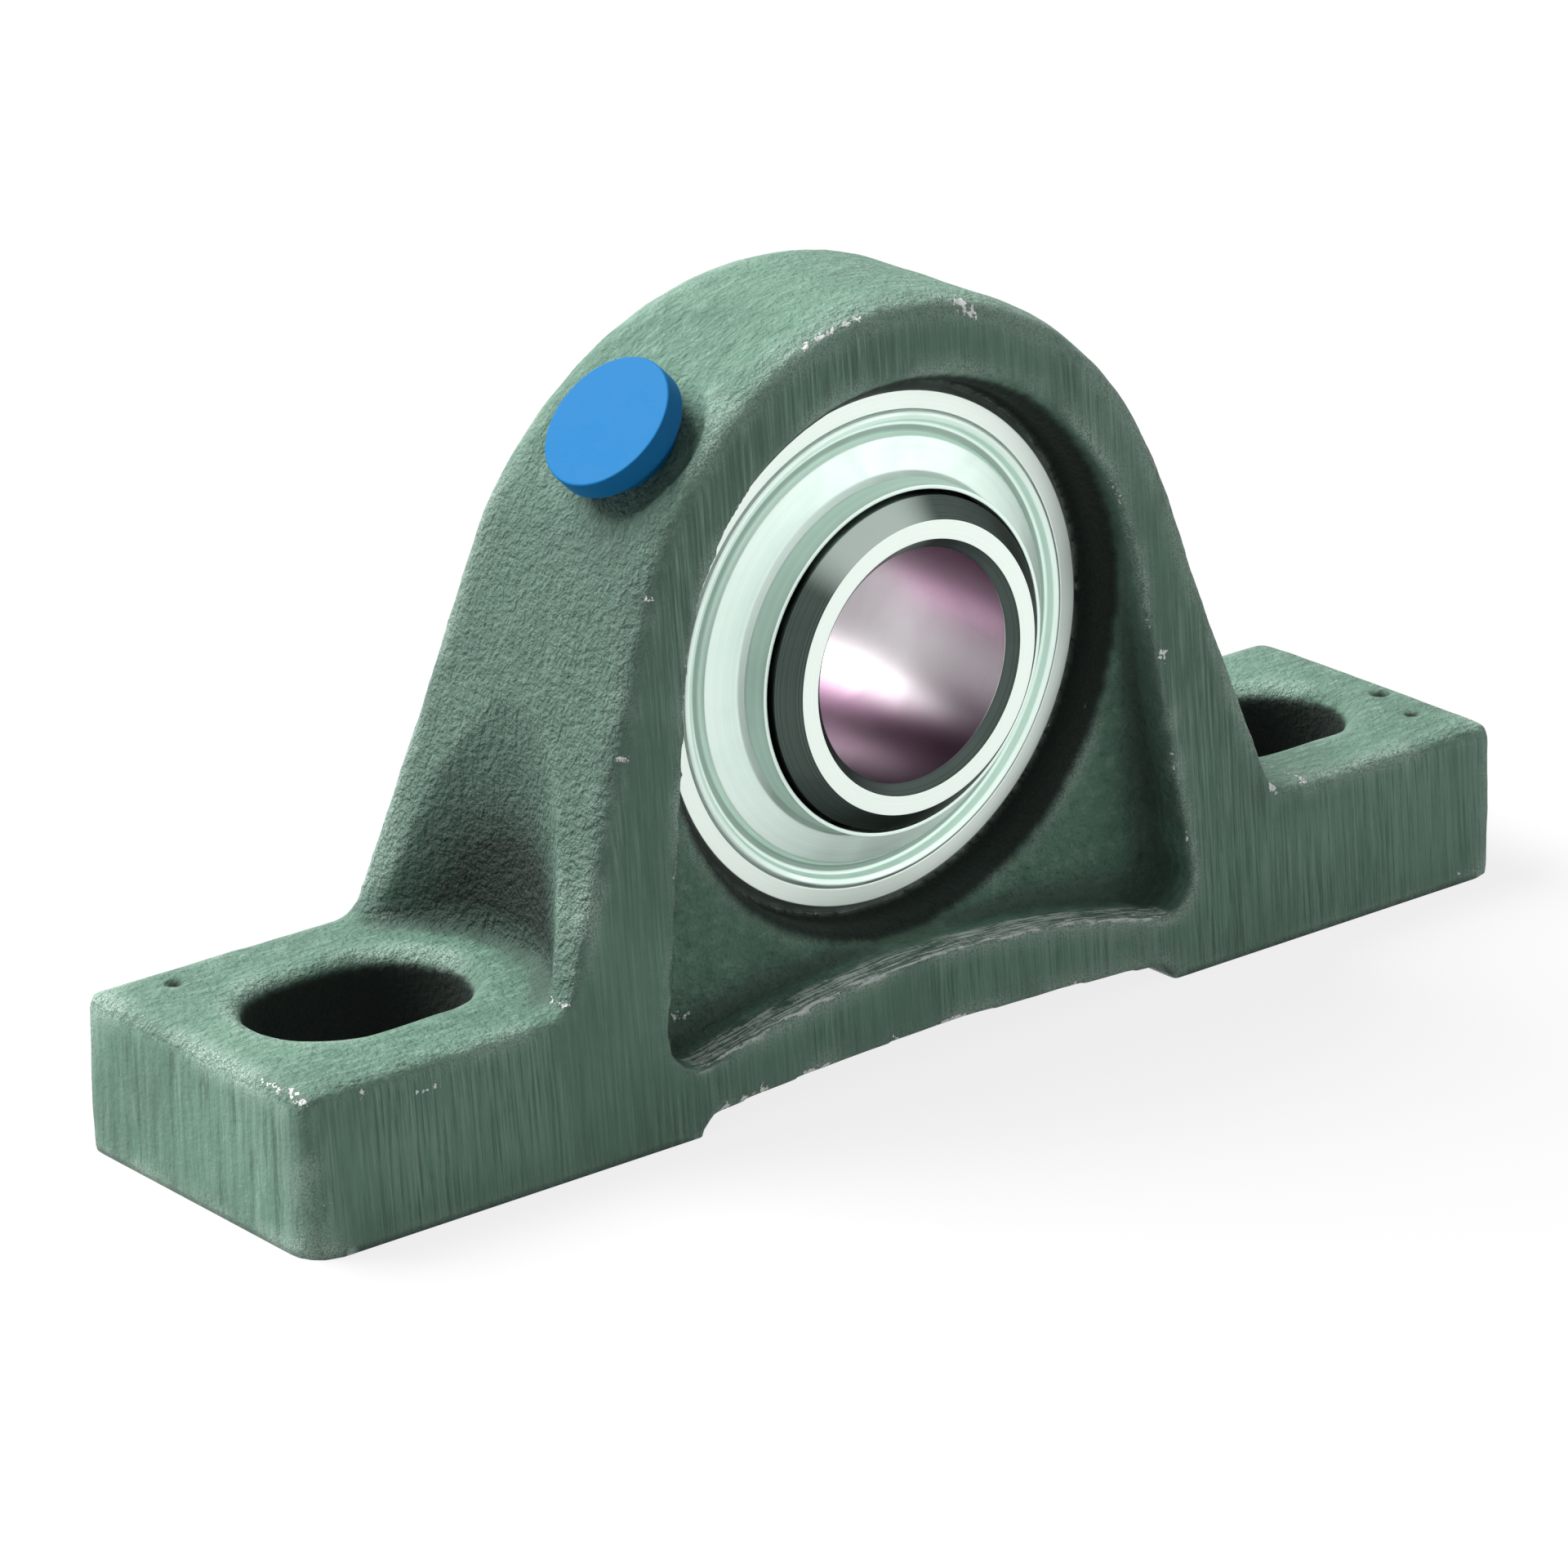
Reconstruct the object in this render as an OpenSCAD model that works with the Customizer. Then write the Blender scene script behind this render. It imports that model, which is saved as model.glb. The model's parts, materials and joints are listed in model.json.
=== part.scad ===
// Pillow block bearing: a cast housing on two slotted feet, and a ball bearing insert with a
// spherical outside that swivels in it. All sizes are millimetres.
// X runs along the base, Y along the shaft (the short end of the inner ring looks to -Y), Z up.
// The base stands on z = 0 and the middle of the insert is above the origin.

/* [Housing] */
// length of the base over both feet
overall_length = 130; // [126:1:140]
// depth of the base, front to back
base_depth = 32; // [31:0.5:38]
// height of the shaft centre over the base
shaft_height = 33.3; // [33:0.1:36]
// thickness of the feet
foot_height = 13.7; // [12:0.1:15]
// outside radius of the arch
arch_radius = 30; // [29.5:0.25:32]
// how far the arch centre lies over the shaft centre
arch_rise = 0.6; // [0:0.1:1.5]
// half width of the arch where it meets the feet
arch_foot_half = 38.4; // [37:0.2:40]
// lean of the front and back faces, so the casting leaves the mould
face_draft = 5.6; // [3:0.2:6]
// rounding of the arch edges, front and back
edge_round = 1.8; // [1:0.2:2.2]
// rounding of the four upright corners of the base
corner_round = 3.2; // [1.5:0.1:5]
// rounding of the upper edges of the feet
foot_edge = 0.8; // [0.4:0.1:1.2]
// hollow round between arch and feet
foot_fillet = 2.5; // [2:0.25:4]

/* [Feet and bolts] */
// distance between the two bolt slots
slot_spacing = 97; // [95:0.5:99]
// width of a bolt slot
slot_width = 13; // [11:0.5:13.5]
// length of a bolt slot
slot_length = 19.5; // [17:0.5:20]
// broken edge round the mouth of a slot
slot_edge = 1.1; // [0.4:0.1:1.4]
// radius of the recess for the bolt head, level with the foot
recess_radius = 15.6; // [14:0.1:15.8]
// how much wider that recess gets at its upper end
recess_flare = 2.1; // [1:0.1:3]
// half length of the hollow under the base
relief_half = 24.5; // [20:0.5:27]
// step at the ends of the hollow under the base
relief_step = 1.4; // [0.8:0.1:2]
// rise of the hollow from its ends to the middle
relief_rise = 1.2; // [0.6:0.1:2]

/* [Pockets and seat] */
// distance of each pocket floor from the middle plane
pocket_floor = 10; // [9.4:0.1:10.6]
// radius of the upper part of a pocket
pocket_radius = 24.4; // [24.2:0.1:26]
// lean of the pocket side walls
pocket_lean = 9; // [6:0.5:12]
// rounding of the two lower pocket corners
pocket_corner = 3; // [2:0.5:4]
// height of the pocket sill over the base, in the middle
sill_height = 9; // [8.6:0.1:9.4]
// how much the sill falls towards the pocket corners
sill_fall = 3.2; // [2:0.1:3.6]
// half width of the spherical seat
seat_half = 6.4; // [5.6:0.1:7]
// running clearance of the insert in its seat
seat_clearance = 0.03; // [0.02:0.01:0.06]

/* [Grease hole] */
// angle of the grease hole from upright, towards the left foot
grease_angle = 46; // [35:1:55]
// place of the grease hole along the shaft
grease_y = -2; // [-3:0.5:3]
// radius of the grease hole
grease_hole = 3; // [2:0.25:3]
// radius of the plastic cap
cap_radius = 6.05; // [5:0.05:7]
// thickness of the plastic cap
cap_thickness = 2.3; // [1.5:0.1:3]

/* [Insert] */
// bore of the inner ring
bore = 20; // [19:0.5:20.5]
// diameter of the spherical outside of the outer ring
ring_diameter = 47; // [46.6:0.1:47]
// width of the outer ring
ring_width = 14; // [13:0.5:14]
// length of the inner ring
inner_length = 31; // [29:0.5:32]
// length of the short end of the inner ring, from the middle
short_end = 12.7; // [12.2:0.1:13.2]
// outside radius of the inner ring
inner_outside = 14.2; // [14:0.1:14.4]
// radius of the bright end face at the short end
end_face = 12.5; // [12.4:0.1:13.2]
// diameter of a ball
ball_diameter = 7.938; // [7.5:0.001:7.938]
// number of balls
ball_count = 8; // [8:1:8]
// diameter of the circle through the ball centres
pitch_diameter = 33.5; // [33.4:0.05:33.6]
// clearance between a ball and its grooves
ball_clearance = 0.02; // [0.01:0.005:0.03]
// thickness of the cage sheet
cage_sheet = 0.5; // [0.4:0.05:0.6]
// radius of a set screw
screw_radius = 2.5; // [2:0.1:2.6]
// length of a set screw
screw_length = 6; // [5.5:0.25:6.5]
// depth of the hexagon socket in a set screw
socket_depth = 2.6; // [2:0.1:3]
// distance of the set screws from the long end
screw_inset = 4.5; // [4:0.1:4.6]
// radius of the locating pin
pin_radius = 1.5; // [1:0.1:1.6]

/* [Seals and shields] */
// how far the shoulder of the outer ring lies outside the pitch circle
shoulder = 2.55; // [2.3:0.05:2.8]
// width of the step for the seals in each face of the outer ring
seal_step = 1.1; // [0.9:0.05:1.2]
// depth of that step
seal_depth = 1.6; // [1.4:0.05:1.7]
// thickness of the steel washer at the bottom of the step
washer_sheet = 0.35; // [0.3:0.05:0.4]
// space between the washer and the inner ring
washer_gap = 1.1; // [0.8:0.1:1.4]
// thickness of the flat part of the rubber seal
seal_sheet = 0.35; // [0.3:0.05:0.4]
// thickness of the seal lip
seal_lip = 0.8; // [0.6:0.05:0.9]
// how far the lip of the seal rises above the washer
seal_rise = 1.45; // [1.2:0.05:1.6]
// thickness of the pressed shield
shield_sheet = 0.4; // [0.3:0.05:0.45]
// width of the bead that holds the shield in the step
bead_width = 1.15; // [1:0.05:1.3]
// height of that bead
bead_height = 1.25; // [1.1:0.05:1.3]
// width of the groove between bead and cone
shield_groove = 0.75; // [0.5:0.05:0.9]
// how far the broad dish of a shield rises from the groove to the collar
dish_rise = 0.7; // [0.5:0.05:0.9]
// space between the rim of a shield and the inner ring
rim_gap = 0.35; // [0.3:0.05:0.5]
// how far the rim of the front shield stays behind the short end of the inner ring
rim_setback = 2; // [1.8:0.1:2.6]
// space between the rim of the back shield and the set screws
screw_gap = 0.6; // [0.4:0.1:1]

/* [Hidden] */
$fn = 96;

// housing
half_depth = base_depth / 2;
arch_centre = shaft_height + arch_rise;
arch_top = arch_centre + arch_radius;
lean = tan(face_draft);
flank_reach = sqrt(pow(arch_foot_half, 2) + pow(arch_centre - foot_height, 2));
flank_angle = acos(arch_radius / flank_reach) - atan2(arch_centre - foot_height, arch_foot_half);
fillet_reach = foot_fillet * tan((90 - flank_angle) / 2);
foot_point = [arch_foot_half + fillet_reach, foot_height];
side_point = [
    arch_foot_half - fillet_reach * sin(flank_angle),
    foot_height + fillet_reach * cos(flank_angle)
];
flank_x = arch_radius * cos(flank_angle);
flank_z = arch_centre + arch_radius * sin(flank_angle);
relief_radius = (pow(relief_half, 2) + pow(relief_rise, 2)) / (2 * relief_rise);
relief_centre = relief_step + relief_rise - relief_radius;
sill_half = 25;
sill_radius = (pow(sill_half, 2) + pow(sill_fall, 2)) / (2 * sill_fall);
sill_centre = sill_height - sill_radius;
pocket_z = shaft_height + pocket_radius * sin(pocket_lean);
pocket_x = pocket_radius * cos(pocket_lean) - 0.03;
ring_radius = ring_diameter / 2;
seat_radius = ring_radius + seat_clearance;
relief_bore = sqrt(pow(seat_radius, 2) - pow(seat_half, 2)) + 0.6;
cap_under = arch_radius + 0.8;
grease_groove = -4.2;

// insert
half_width = ring_width / 2;
long_end = inner_length - short_end;
ball_radius = ball_diameter / 2;
pitch = pitch_diameter / 2;
groove = ball_diameter * 0.5165;
outer_groove = pitch + ball_radius + ball_clearance - groove;
inner_groove = pitch - ball_radius - ball_clearance + groove;
outer_land = pitch + shoulder;
seal_bore = outer_land + seal_step;
seal_floor = half_width - seal_depth;
seal_rim = seal_bore - 0.03;
pocket_gap = 0.06;
cage_half_band = 1.4;
screw_y = long_end - screw_inset;
screw_angles = [30, 150];
screw_tip = bore / 2 + 0.3;
front_rim = short_end - rim_setback;
back_rim = screw_y - screw_radius - screw_gap;
pin_end = ring_radius - 1.05;
pin_top = ring_radius + 3.6;

// places that several pieces share
module at_shaft() {
    translate([0, 0, shaft_height])
    children();
}

module along_shaft() {
    at_shaft()
    rotate([-90, 0, 0])
    children();
}

module both_sides() {
    children();
    mirror([0, 1, 0])
    children();
}

module both_feet() {
    children();
    mirror([1, 0, 0])
    children();
}

// lays a drawing of the front view into the housing, with its middle on the middle plane
module front_view(depth) {
    rotate([90, 0, 0])
    linear_extrude(height = depth, center = true)
    children();
}

// stands on the leaning front face: x along the base, y up the face, z out of it
module on_front_face() {
    translate([0, -half_depth, 0])
    rotate([90 - face_draft, 0, 0])
    children();
}

// outline of the casting seen from the front: arch, hollows in three flats down to the feet, feet
module casting_outline() {
    end = overall_length / 2;
    turn = 90 - flank_angle;
    hollow = [for (i = [0 : 3])
        foot_point + foot_fillet * [-sin(turn * i / 3), 1 - cos(turn * i / 3)]];
    right_half = concat(
        [[end, 0], [end, foot_height - foot_edge], [end - foot_edge, foot_height]],
        hollow,
        [[flank_x - 0.02, flank_z]]
    );
    last = len(right_half) - 1;
    left_half = [for (i = [0 : last]) [-right_half[last - i][0], right_half[last - i][1]]];
    translate([0, arch_centre])
    circle(r = arch_radius, $fn = 180);
    polygon(concat(right_half, left_half));
}

// what is cut off along an edge to round it with two flats: x is level with the rim that the
// edge belongs to and grows outwards, y grows out of the face
module edge_profile(size) {
    middle = size * (1 - cos(45));
    far = size + 0.4 / tan(22.5);
    polygon([[-far, 0.4], [-middle, -middle], [0.4, -far], [0.8, -far], [0.8, 0.4]]);
}

// rounds the front edge of the casting: over the arch, down both flanks, where the rounding
// tapers to that of the feet half-way down, then round the hollows and along the feet
module front_edge_cut() {
    up = 1 / cos(face_draft);
    flank_length = norm([flank_x, flank_z] - side_point);
    on_front_face() {
        translate([0, arch_top * up - arch_radius, 0])
        rotate([0, 0, flank_angle])
        rotate_extrude(angle = 180 - 2 * flank_angle, $fn = 180)
        translate([arch_radius, 0])
        edge_profile(edge_round);
        for (side = [0, 1])
        mirror([side, 0, 0]) {
            translate([0, arch_top * up - arch_radius, 0])
            rotate([0, 0, flank_angle])
            translate([arch_radius, 0, 0])
            rotate([90, 0, 0]) {
                linear_extrude(height = flank_length / 2)
                edge_profile(edge_round);
                translate([0, 0, flank_length / 2])
                linear_extrude(height = flank_length / 2, scale = foot_edge / edge_round)
                edge_profile(edge_round);
            }
            translate([foot_point[0], (foot_height + foot_fillet) * up, 0])
            rotate([0, 0, 180 + flank_angle])
            rotate_extrude(angle = 90 - flank_angle, $fn = 60)
            translate([foot_fillet, 0])
            mirror([1, 0])
            edge_profile(foot_edge);
            translate([foot_point[0] - 0.5, foot_height * up, 0])
            rotate([90, 0, 90])
            linear_extrude(height = overall_length / 2)
            edge_profile(foot_edge);
        }
    }
}

// leaning front and back faces
module leaning_faces() {
    height = arch_top + 2;
    rotate([90, 0, 90])
    linear_extrude(height = overall_length + 2, center = true)
    polygon([
        [-half_depth, 0], [half_depth, 0],
        [half_depth - height * lean, height], [-half_depth + height * lean, height]
    ]);
}

module casting() {
    difference() {
        intersection() {
            front_view(base_depth + 2)
            casting_outline();
            leaning_faces();
            linear_extrude(height = arch_top + 1)
            base_plan();
        }
        both_sides()
        front_edge_cut();
    }
}

module base_plan() {
    x = overall_length / 2 - corner_round;
    y = half_depth - corner_round;
    square([2 * x, base_depth], center = true);
    square([overall_length, 2 * y], center = true);
    for (sx = [-1, 1], sy = [-1, 1])
    translate([sx * x, sy * y])
    circle(r = corner_round, $fn = 60);
}

// bolt slot through one foot, with a broken edge at its mouth
module bolt_slot() {
    run = (slot_length - slot_width) / 2;
    r = slot_width / 2;
    translate([slot_spacing / 2, 0, 0]) {
        for (end = [-1, 1])
        translate([end * run, 0, 0]) {
            translate([0, 0, -1])
            cylinder(r = r, h = foot_height + 2);
            translate([0, 0, foot_height - slot_edge])
            cylinder(r1 = r, r2 = r + 1.5 * slot_edge, h = 1.5 * slot_edge);
        }
        translate([-run, -r, -1])
        cube([2 * run, slot_width, foot_height + 2]);
        translate([-run, 0, foot_height - slot_edge])
        rotate([90, 0, 90])
        linear_extrude(height = 2 * run)
        polygon([
            [-r, -0.1], [r, -0.1], [r, 0], [r + 1.5 * slot_edge, 1.5 * slot_edge],
            [-r - 1.5 * slot_edge, 1.5 * slot_edge], [-r, 0]
        ]);
    }
}

// recess for the bolt head: an upright cone round the bolt, cut into the flank
module bolt_recess() {
    height = flank_z - foot_height;
    translate([slot_spacing / 2, 0, foot_height])
    cylinder(r1 = recess_radius, r2 = recess_radius + recess_flare, h = height, $fn = 120);
}

// pocket outline: round the seat above, leaning sides, arched sill below
module pocket_outline() {
    slope = tan(pocket_lean);
    // centre of a lower corner: as far from the side line as from the bottom arc
    shift = pocket_x + pocket_z * slope - pocket_corner / cos(pocket_lean);
    reach = sill_radius + pocket_corner;
    a = 1 + slope * slope;
    b = -2 * (shift * slope + sill_centre);
    c = shift * shift + sill_centre * sill_centre - reach * reach;
    corner_z = (-b + sqrt(b * b - 4 * a * c)) / (2 * a);
    corner_x = shift - corner_z * slope;
    side_x = corner_x + pocket_corner * cos(pocket_lean);
    side_z = corner_z + pocket_corner * sin(pocket_lean);
    base_angle = atan2(corner_z - sill_centre, corner_x);
    low_x = sill_radius * cos(base_angle);
    low_z = sill_centre + sill_radius * sin(base_angle);
    translate([0, shaft_height])
    circle(r = pocket_radius, $fn = 180);
    for (side = [-1, 1])
    translate([side * corner_x, corner_z])
    circle(r = pocket_corner, $fn = 60);
    difference() {
        polygon([
            [-low_x, low_z], [low_x, low_z], [corner_x, corner_z], [side_x, side_z],
            [pocket_x, pocket_z], [-pocket_x, pocket_z], [-side_x, side_z],
            [-corner_x, corner_z]
        ]);
        translate([0, sill_centre])
        circle(r = sill_radius, $fn = 360);
    }
}

module pocket() {
    translate([0, -pocket_floor - half_depth / 2, 0])
    front_view(half_depth)
    pocket_outline();
}

// hollow under the base: a small step at each end and a flat arc between
module base_hollow() {
    front_view(base_depth + 2)
    difference() {
        polygon([
            [-relief_half - relief_step, -1], [relief_half + relief_step, -1],
            [relief_half + relief_step, 0], [relief_half, relief_step],
            [relief_half, relief_step + 0.01], [-relief_half, relief_step + 0.01],
            [-relief_half, relief_step], [-relief_half - relief_step, 0]
        ]);
    }
    intersection() {
        front_view(base_depth + 2)
        translate([0, relief_centre])
        circle(r = relief_radius, $fn = 360);
        translate([-relief_half, -half_depth - 1, 0])
        cube([2 * relief_half, base_depth + 2, relief_step + relief_rise + 1]);
    }
}

// round space for the insert: spherical seat in the middle, wider mouth at both faces
module seat_space() {
    along_shaft()
    intersection() {
        sphere(r = seat_radius, $fn = 180);
        cube([3 * seat_radius, 3 * seat_radius, 2 * seat_half + 0.02], center = true);
    }
    both_sides()
    along_shaft() {
        translate([0, 0, seat_half])
        cylinder(r = relief_bore, h = half_depth, $fn = 180);
        translate([0, 0, pocket_floor - 0.8])
        cylinder(r1 = relief_bore, r2 = relief_bore + 1.6, h = 1.6, $fn = 180);
    }
}

// two slots at the back, through which the insert is put in edgewise and then turned
module loading_slots() {
    reach = seat_radius + 1;
    at_shaft()
    intersection() {
        rotate([-90, 0, 0])
        cylinder(r = seat_radius + 0.1, h = half_depth, $fn = 180);
        translate([-reach, -1, -half_width - 0.4])
        cube([2 * reach, half_depth + 2, ring_width + 0.8]);
    }
}

module at_grease_hole() {
    translate([0, grease_y, arch_centre])
    rotate([0, -grease_angle, 0])
    children();
}

module housing() {
    color([0.36, 0.52, 0.44])
    difference() {
        casting();
        both_feet() {
            bolt_slot();
            bolt_recess();
        }
        both_sides()
        pocket();
        base_hollow();
        seat_space();
        loading_slots();
        // grease hole with a spot face for the cap, and the groove that it feeds
        at_grease_hole() {
            translate([0, 0, arch_radius / 2])
            cylinder(r = grease_hole, h = arch_radius, $fn = 60);
            translate([0, 0, arch_radius - 0.9])
            cylinder(r = cap_radius + 1.1, h = cap_radius);
        }
        at_shaft()
        translate([0, grease_groove, 0])
        rotate([90, 0, 0])
        cylinder(r = seat_radius + 0.7, h = 2.4, center = true, $fn = 180);
        // blind hole for the locating pin
        at_shaft()
        cylinder(r = pin_radius + 0.03, h = pin_top + 0.3, $fn = 60);
    }
}

// plastic cap over the grease hole: disc, collar on the spot face, stem in the hole
module grease_plug() {
    stem = grease_hole - 0.05;
    color([0.10, 0.42, 0.76])
    at_grease_hole()
    rotate_extrude()
    polygon([
        [0, arch_radius - 5], [stem - 0.5, arch_radius - 5], [stem, arch_radius - 4.5],
        [stem, arch_radius - 0.9], [stem + 1.3, arch_radius - 0.9], [stem + 1.3, cap_under],
        [cap_radius - 0.3, cap_under], [cap_radius, cap_under + 0.3],
        [cap_radius, cap_under + cap_thickness - 0.3],
        [cap_radius - 0.3, cap_under + cap_thickness], [0, cap_under + cap_thickness]
    ]);
}

// pin in the roof of the seat: its tip runs in the short groove of the outer ring
module locating_pin() {
    color([0.62, 0.62, 0.64])
    at_shaft()
    rotate_extrude($fn = 60)
    polygon([
        [0, pin_end], [pin_radius - 0.3, pin_end], [pin_radius, pin_end + 0.3],
        [pin_radius, pin_top - 0.3], [pin_radius - 0.3, pin_top], [0, pin_top]
    ]);
}

// outer ring: spherical outside, ball groove, a step for the seal at each side
module outer_ring() {
    color([0.80, 0.82, 0.80])
    difference() {
        along_shaft()
        rotate_extrude($fn = 180)
        difference() {
            intersection() {
                circle(r = ring_radius, $fn = 180);
                translate([outer_land, -half_width])
                square([ring_radius, ring_width]);
            }
            translate([outer_groove, 0])
            circle(r = groove);
            for (side = [-1, 1])
            translate([0, side * (seal_floor + 1.5) - 1.5])
            square([seal_bore, 3]);
            // small chamfers on the outer corners of both faces
            for (side = [0, 1])
            mirror([0, side])
            polygon([
                [ring_radius, half_width - 0.7],
                [sqrt(pow(ring_radius, 2) - pow(half_width, 2)) - 0.45, half_width + 0.01],
                [ring_radius, half_width + 0.01]
            ]);
        }
        // groove for the pin, along the shaft
        at_shaft()
        translate([-pin_radius - 0.03, -2.1 * pin_radius, pin_end - 0.3])
        cube([2 * pin_radius + 0.06, 4.2 * pin_radius, ring_radius - pin_end + 1]);
        // two grease holes beside the ball groove, under the groove of the housing
        at_shaft()
        for (side = [-1, 1])
        translate([0, grease_groove - 0.2, 0])
        rotate([0, 90 * side, 0])
        translate([0, 0, outer_land - 1])
        cylinder(r = 0.6, h = ring_radius - outer_land + 2, $fn = 24);
    }
}

// inner ring: ball groove, chamfered bore, a narrow bright face at the short end
module inner_ring() {
    color([0.82, 0.84, 0.83])
    difference() {
        along_shaft()
        rotate_extrude($fn = 180)
        difference() {
            polygon([
                [bore / 2 + 0.9, -short_end], [end_face, -short_end],
                [inner_outside, -short_end + 1.6], [inner_outside, long_end - 1],
                [inner_outside - 0.7, long_end], [bore / 2 + 0.9, long_end],
                [bore / 2, long_end - 0.9], [bore / 2, -short_end + 0.9]
            ]);
            translate([inner_groove, 0])
            circle(r = groove);
        }
        for (angle = screw_angles)
        at_screw(angle)
        cylinder(r = screw_radius + 0.05, h = inner_outside + 1, $fn = 60);
    }
}

module at_screw(angle) {
    translate([0, screw_y, shaft_height])
    rotate([0, 90 - angle, 0])
    children();
}

// set screw: dog point towards the shaft, hexagon socket outside
module set_screw(angle) {
    color([0.16, 0.16, 0.17])
    at_screw(angle)
    translate([0, 0, screw_tip])
    difference() {
        rotate_extrude($fn = 60)
        polygon([
            [0, 0], [screw_radius - 1, 0], [screw_radius, 1],
            [screw_radius, screw_length - 0.5], [screw_radius - 0.5, screw_length],
            [0, screw_length]
        ]);
        translate([0, 0, screw_length - socket_depth])
        linear_extrude(height = socket_depth + 1)
        polygon([for (i = [0 : 5]) 0.577 * screw_radius * [cos(60 * i), sin(60 * i)]]);
    }
}

module set_screw_1() {
    set_screw(screw_angles[0]);
}

module set_screw_2() {
    set_screw(screw_angles[1]);
}

// sets a copy on the pitch circle for every ball, or halfway between two balls
module round_the_pitch(offset_part) {
    for (i = [0 : ball_count - 1])
    rotate([0, (i + offset_part) * 360 / ball_count, 0])
    translate([0, 0, pitch])
    children();
}

// one half of the cage: sheet ring with a round pocket pressed out for every ball
module cage_half() {
    inside = ball_radius + pocket_gap;
    difference() {
        union() {
            intersection() {
                round_the_pitch(0)
                rotate([90, 0, 0])
                sphere(r = inside + cage_sheet);
                cage_band(2 * ball_radius);
            }
            cage_band(cage_sheet);
        }
        round_the_pitch(0)
        rotate([90, 0, 0])
        sphere(r = inside);
        round_the_pitch(0.5)
        rotate([90, 0, 0])
        cylinder(r = 0.5, h = 3, center = true, $fn = 24);
    }
}

module cage_band(height) {
    rotate([90, 0, 0])
    rotate_extrude($fn = 180)
    translate([pitch - cage_half_band, 0])
    square([2 * cage_half_band, height]);
}

module cage_front() {
    color([0.70, 0.66, 0.52])
    at_shaft()
    cage_half();
}

module cage_back() {
    color([0.70, 0.66, 0.52])
    at_shaft()
    mirror([0, 1, 0])
    cage_half();
}

// rivets that hold the two halves together, one between every two balls
module cage_rivets() {
    color([0.66, 0.64, 0.58])
    at_shaft()
    round_the_pitch(0.5)
    rotate([90, 0, 0])
    rotate_extrude($fn = 24)
    polygon([
        [0, -cage_sheet - 0.45], [0.45, -cage_sheet - 0.45], [0.9, -cage_sheet],
        [0.5, -cage_sheet], [0.5, cage_sheet], [0.9, cage_sheet],
        [0.45, cage_sheet + 0.45], [0, cage_sheet + 0.45]
    ]);
}

module ball(i) {
    color([0.86, 0.87, 0.88])
    at_shaft()
    rotate([0, i * 360 / ball_count, 0])
    translate([0, 0, pitch])
    sphere(r = ball_radius);
}

module ball_1() {
    ball(0);
}

module ball_2() {
    ball(1);
}

module ball_3() {
    ball(2);
}

module ball_4() {
    ball(3);
}

module ball_5() {
    ball(4);
}

module ball_6() {
    ball(5);
}

module ball_7() {
    ball(6);
}

module ball_8() {
    ball(7);
}

// thin steel washer on the step of the outer ring: it carries the rubber
module washer_body() {
    inside = inner_outside + washer_gap;
    rotate_extrude($fn = 180)
    translate([inside, seal_floor])
    square([seal_rim - inside, washer_sheet]);
}

// rubber seal between washer and shield: a flat ring with a lip that rises along the inner ring
module seal_body() {
    low = seal_floor + washer_sheet;
    inside = inner_outside + 0.03;
    tip = low + seal_rise;
    rotate_extrude($fn = 180)
    polygon([
        [seal_rim, low], [seal_rim, low + seal_sheet],
        [inner_outside + 2 * seal_lip, low + seal_sheet],
        [inner_outside + 0.6 * seal_lip, tip], [inside, tip],
        [inside, tip - seal_lip], [inner_outside + 1.3 * seal_lip, low]
    ]);
}

// pressed shield: bead in the step of the outer ring, groove, broad shallow dish and an upright
// collar around the inner ring, all of one sheet
module shield_body(rim) {
    low = seal_floor + washer_sheet + seal_sheet;
    sheet = shield_sheet;
    bead = seal_rim - bead_width;
    cone = bead - shield_groove;
    inside = inner_outside + rim_gap;
    dish = low + 0.85 * bead_height + dish_rise;
    rotate_extrude($fn = 180)
    polygon([
        [seal_rim, low], [seal_rim, low + 0.8 * bead_height],
        [seal_rim - 0.4 * bead_width, low + bead_height],
        [seal_rim - 0.8 * bead_width, low + 0.8 * bead_height], [bead, low + sheet],
        [cone, low + sheet], [cone - sheet, low + 0.85 * bead_height],
        [inside + 2.6 * sheet, dish], [inside + 1.6 * sheet, dish + 0.9 * sheet],
        [inside + sheet, rim], [inside, rim], [inside + 0.6 * sheet, dish + 0.5 * sheet],
        [inside + 2.2 * sheet, dish - 0.9 * sheet],
        [cone - 1.7 * sheet, low + 2 * sheet], [cone - sheet, low]
    ]);
}

module front_washer() {
    color([0.60, 0.60, 0.60])
    along_shaft()
    mirror([0, 0, 1])
    washer_body();
}

module front_seal() {
    color([0.08, 0.08, 0.08])
    along_shaft()
    mirror([0, 0, 1])
    seal_body();
}

module front_shield() {
    color([0.80, 0.84, 0.82])
    along_shaft()
    mirror([0, 0, 1])
    shield_body(front_rim);
}

module back_washer() {
    color([0.60, 0.60, 0.60])
    along_shaft()
    washer_body();
}

module back_seal() {
    color([0.08, 0.08, 0.08])
    along_shaft()
    seal_body();
}

module back_shield() {
    color([0.80, 0.84, 0.82])
    along_shaft()
    shield_body(back_rim);
}

housing();
grease_plug();
locating_pin();
outer_ring();
inner_ring();
cage_front();
cage_back();
cage_rivets();
ball_1();
ball_2();
ball_3();
ball_4();
ball_5();
ball_6();
ball_7();
ball_8();
front_shield();
front_seal();
front_washer();
back_shield();
back_seal();
back_washer();
set_screw_1();
set_screw_2();
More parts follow.
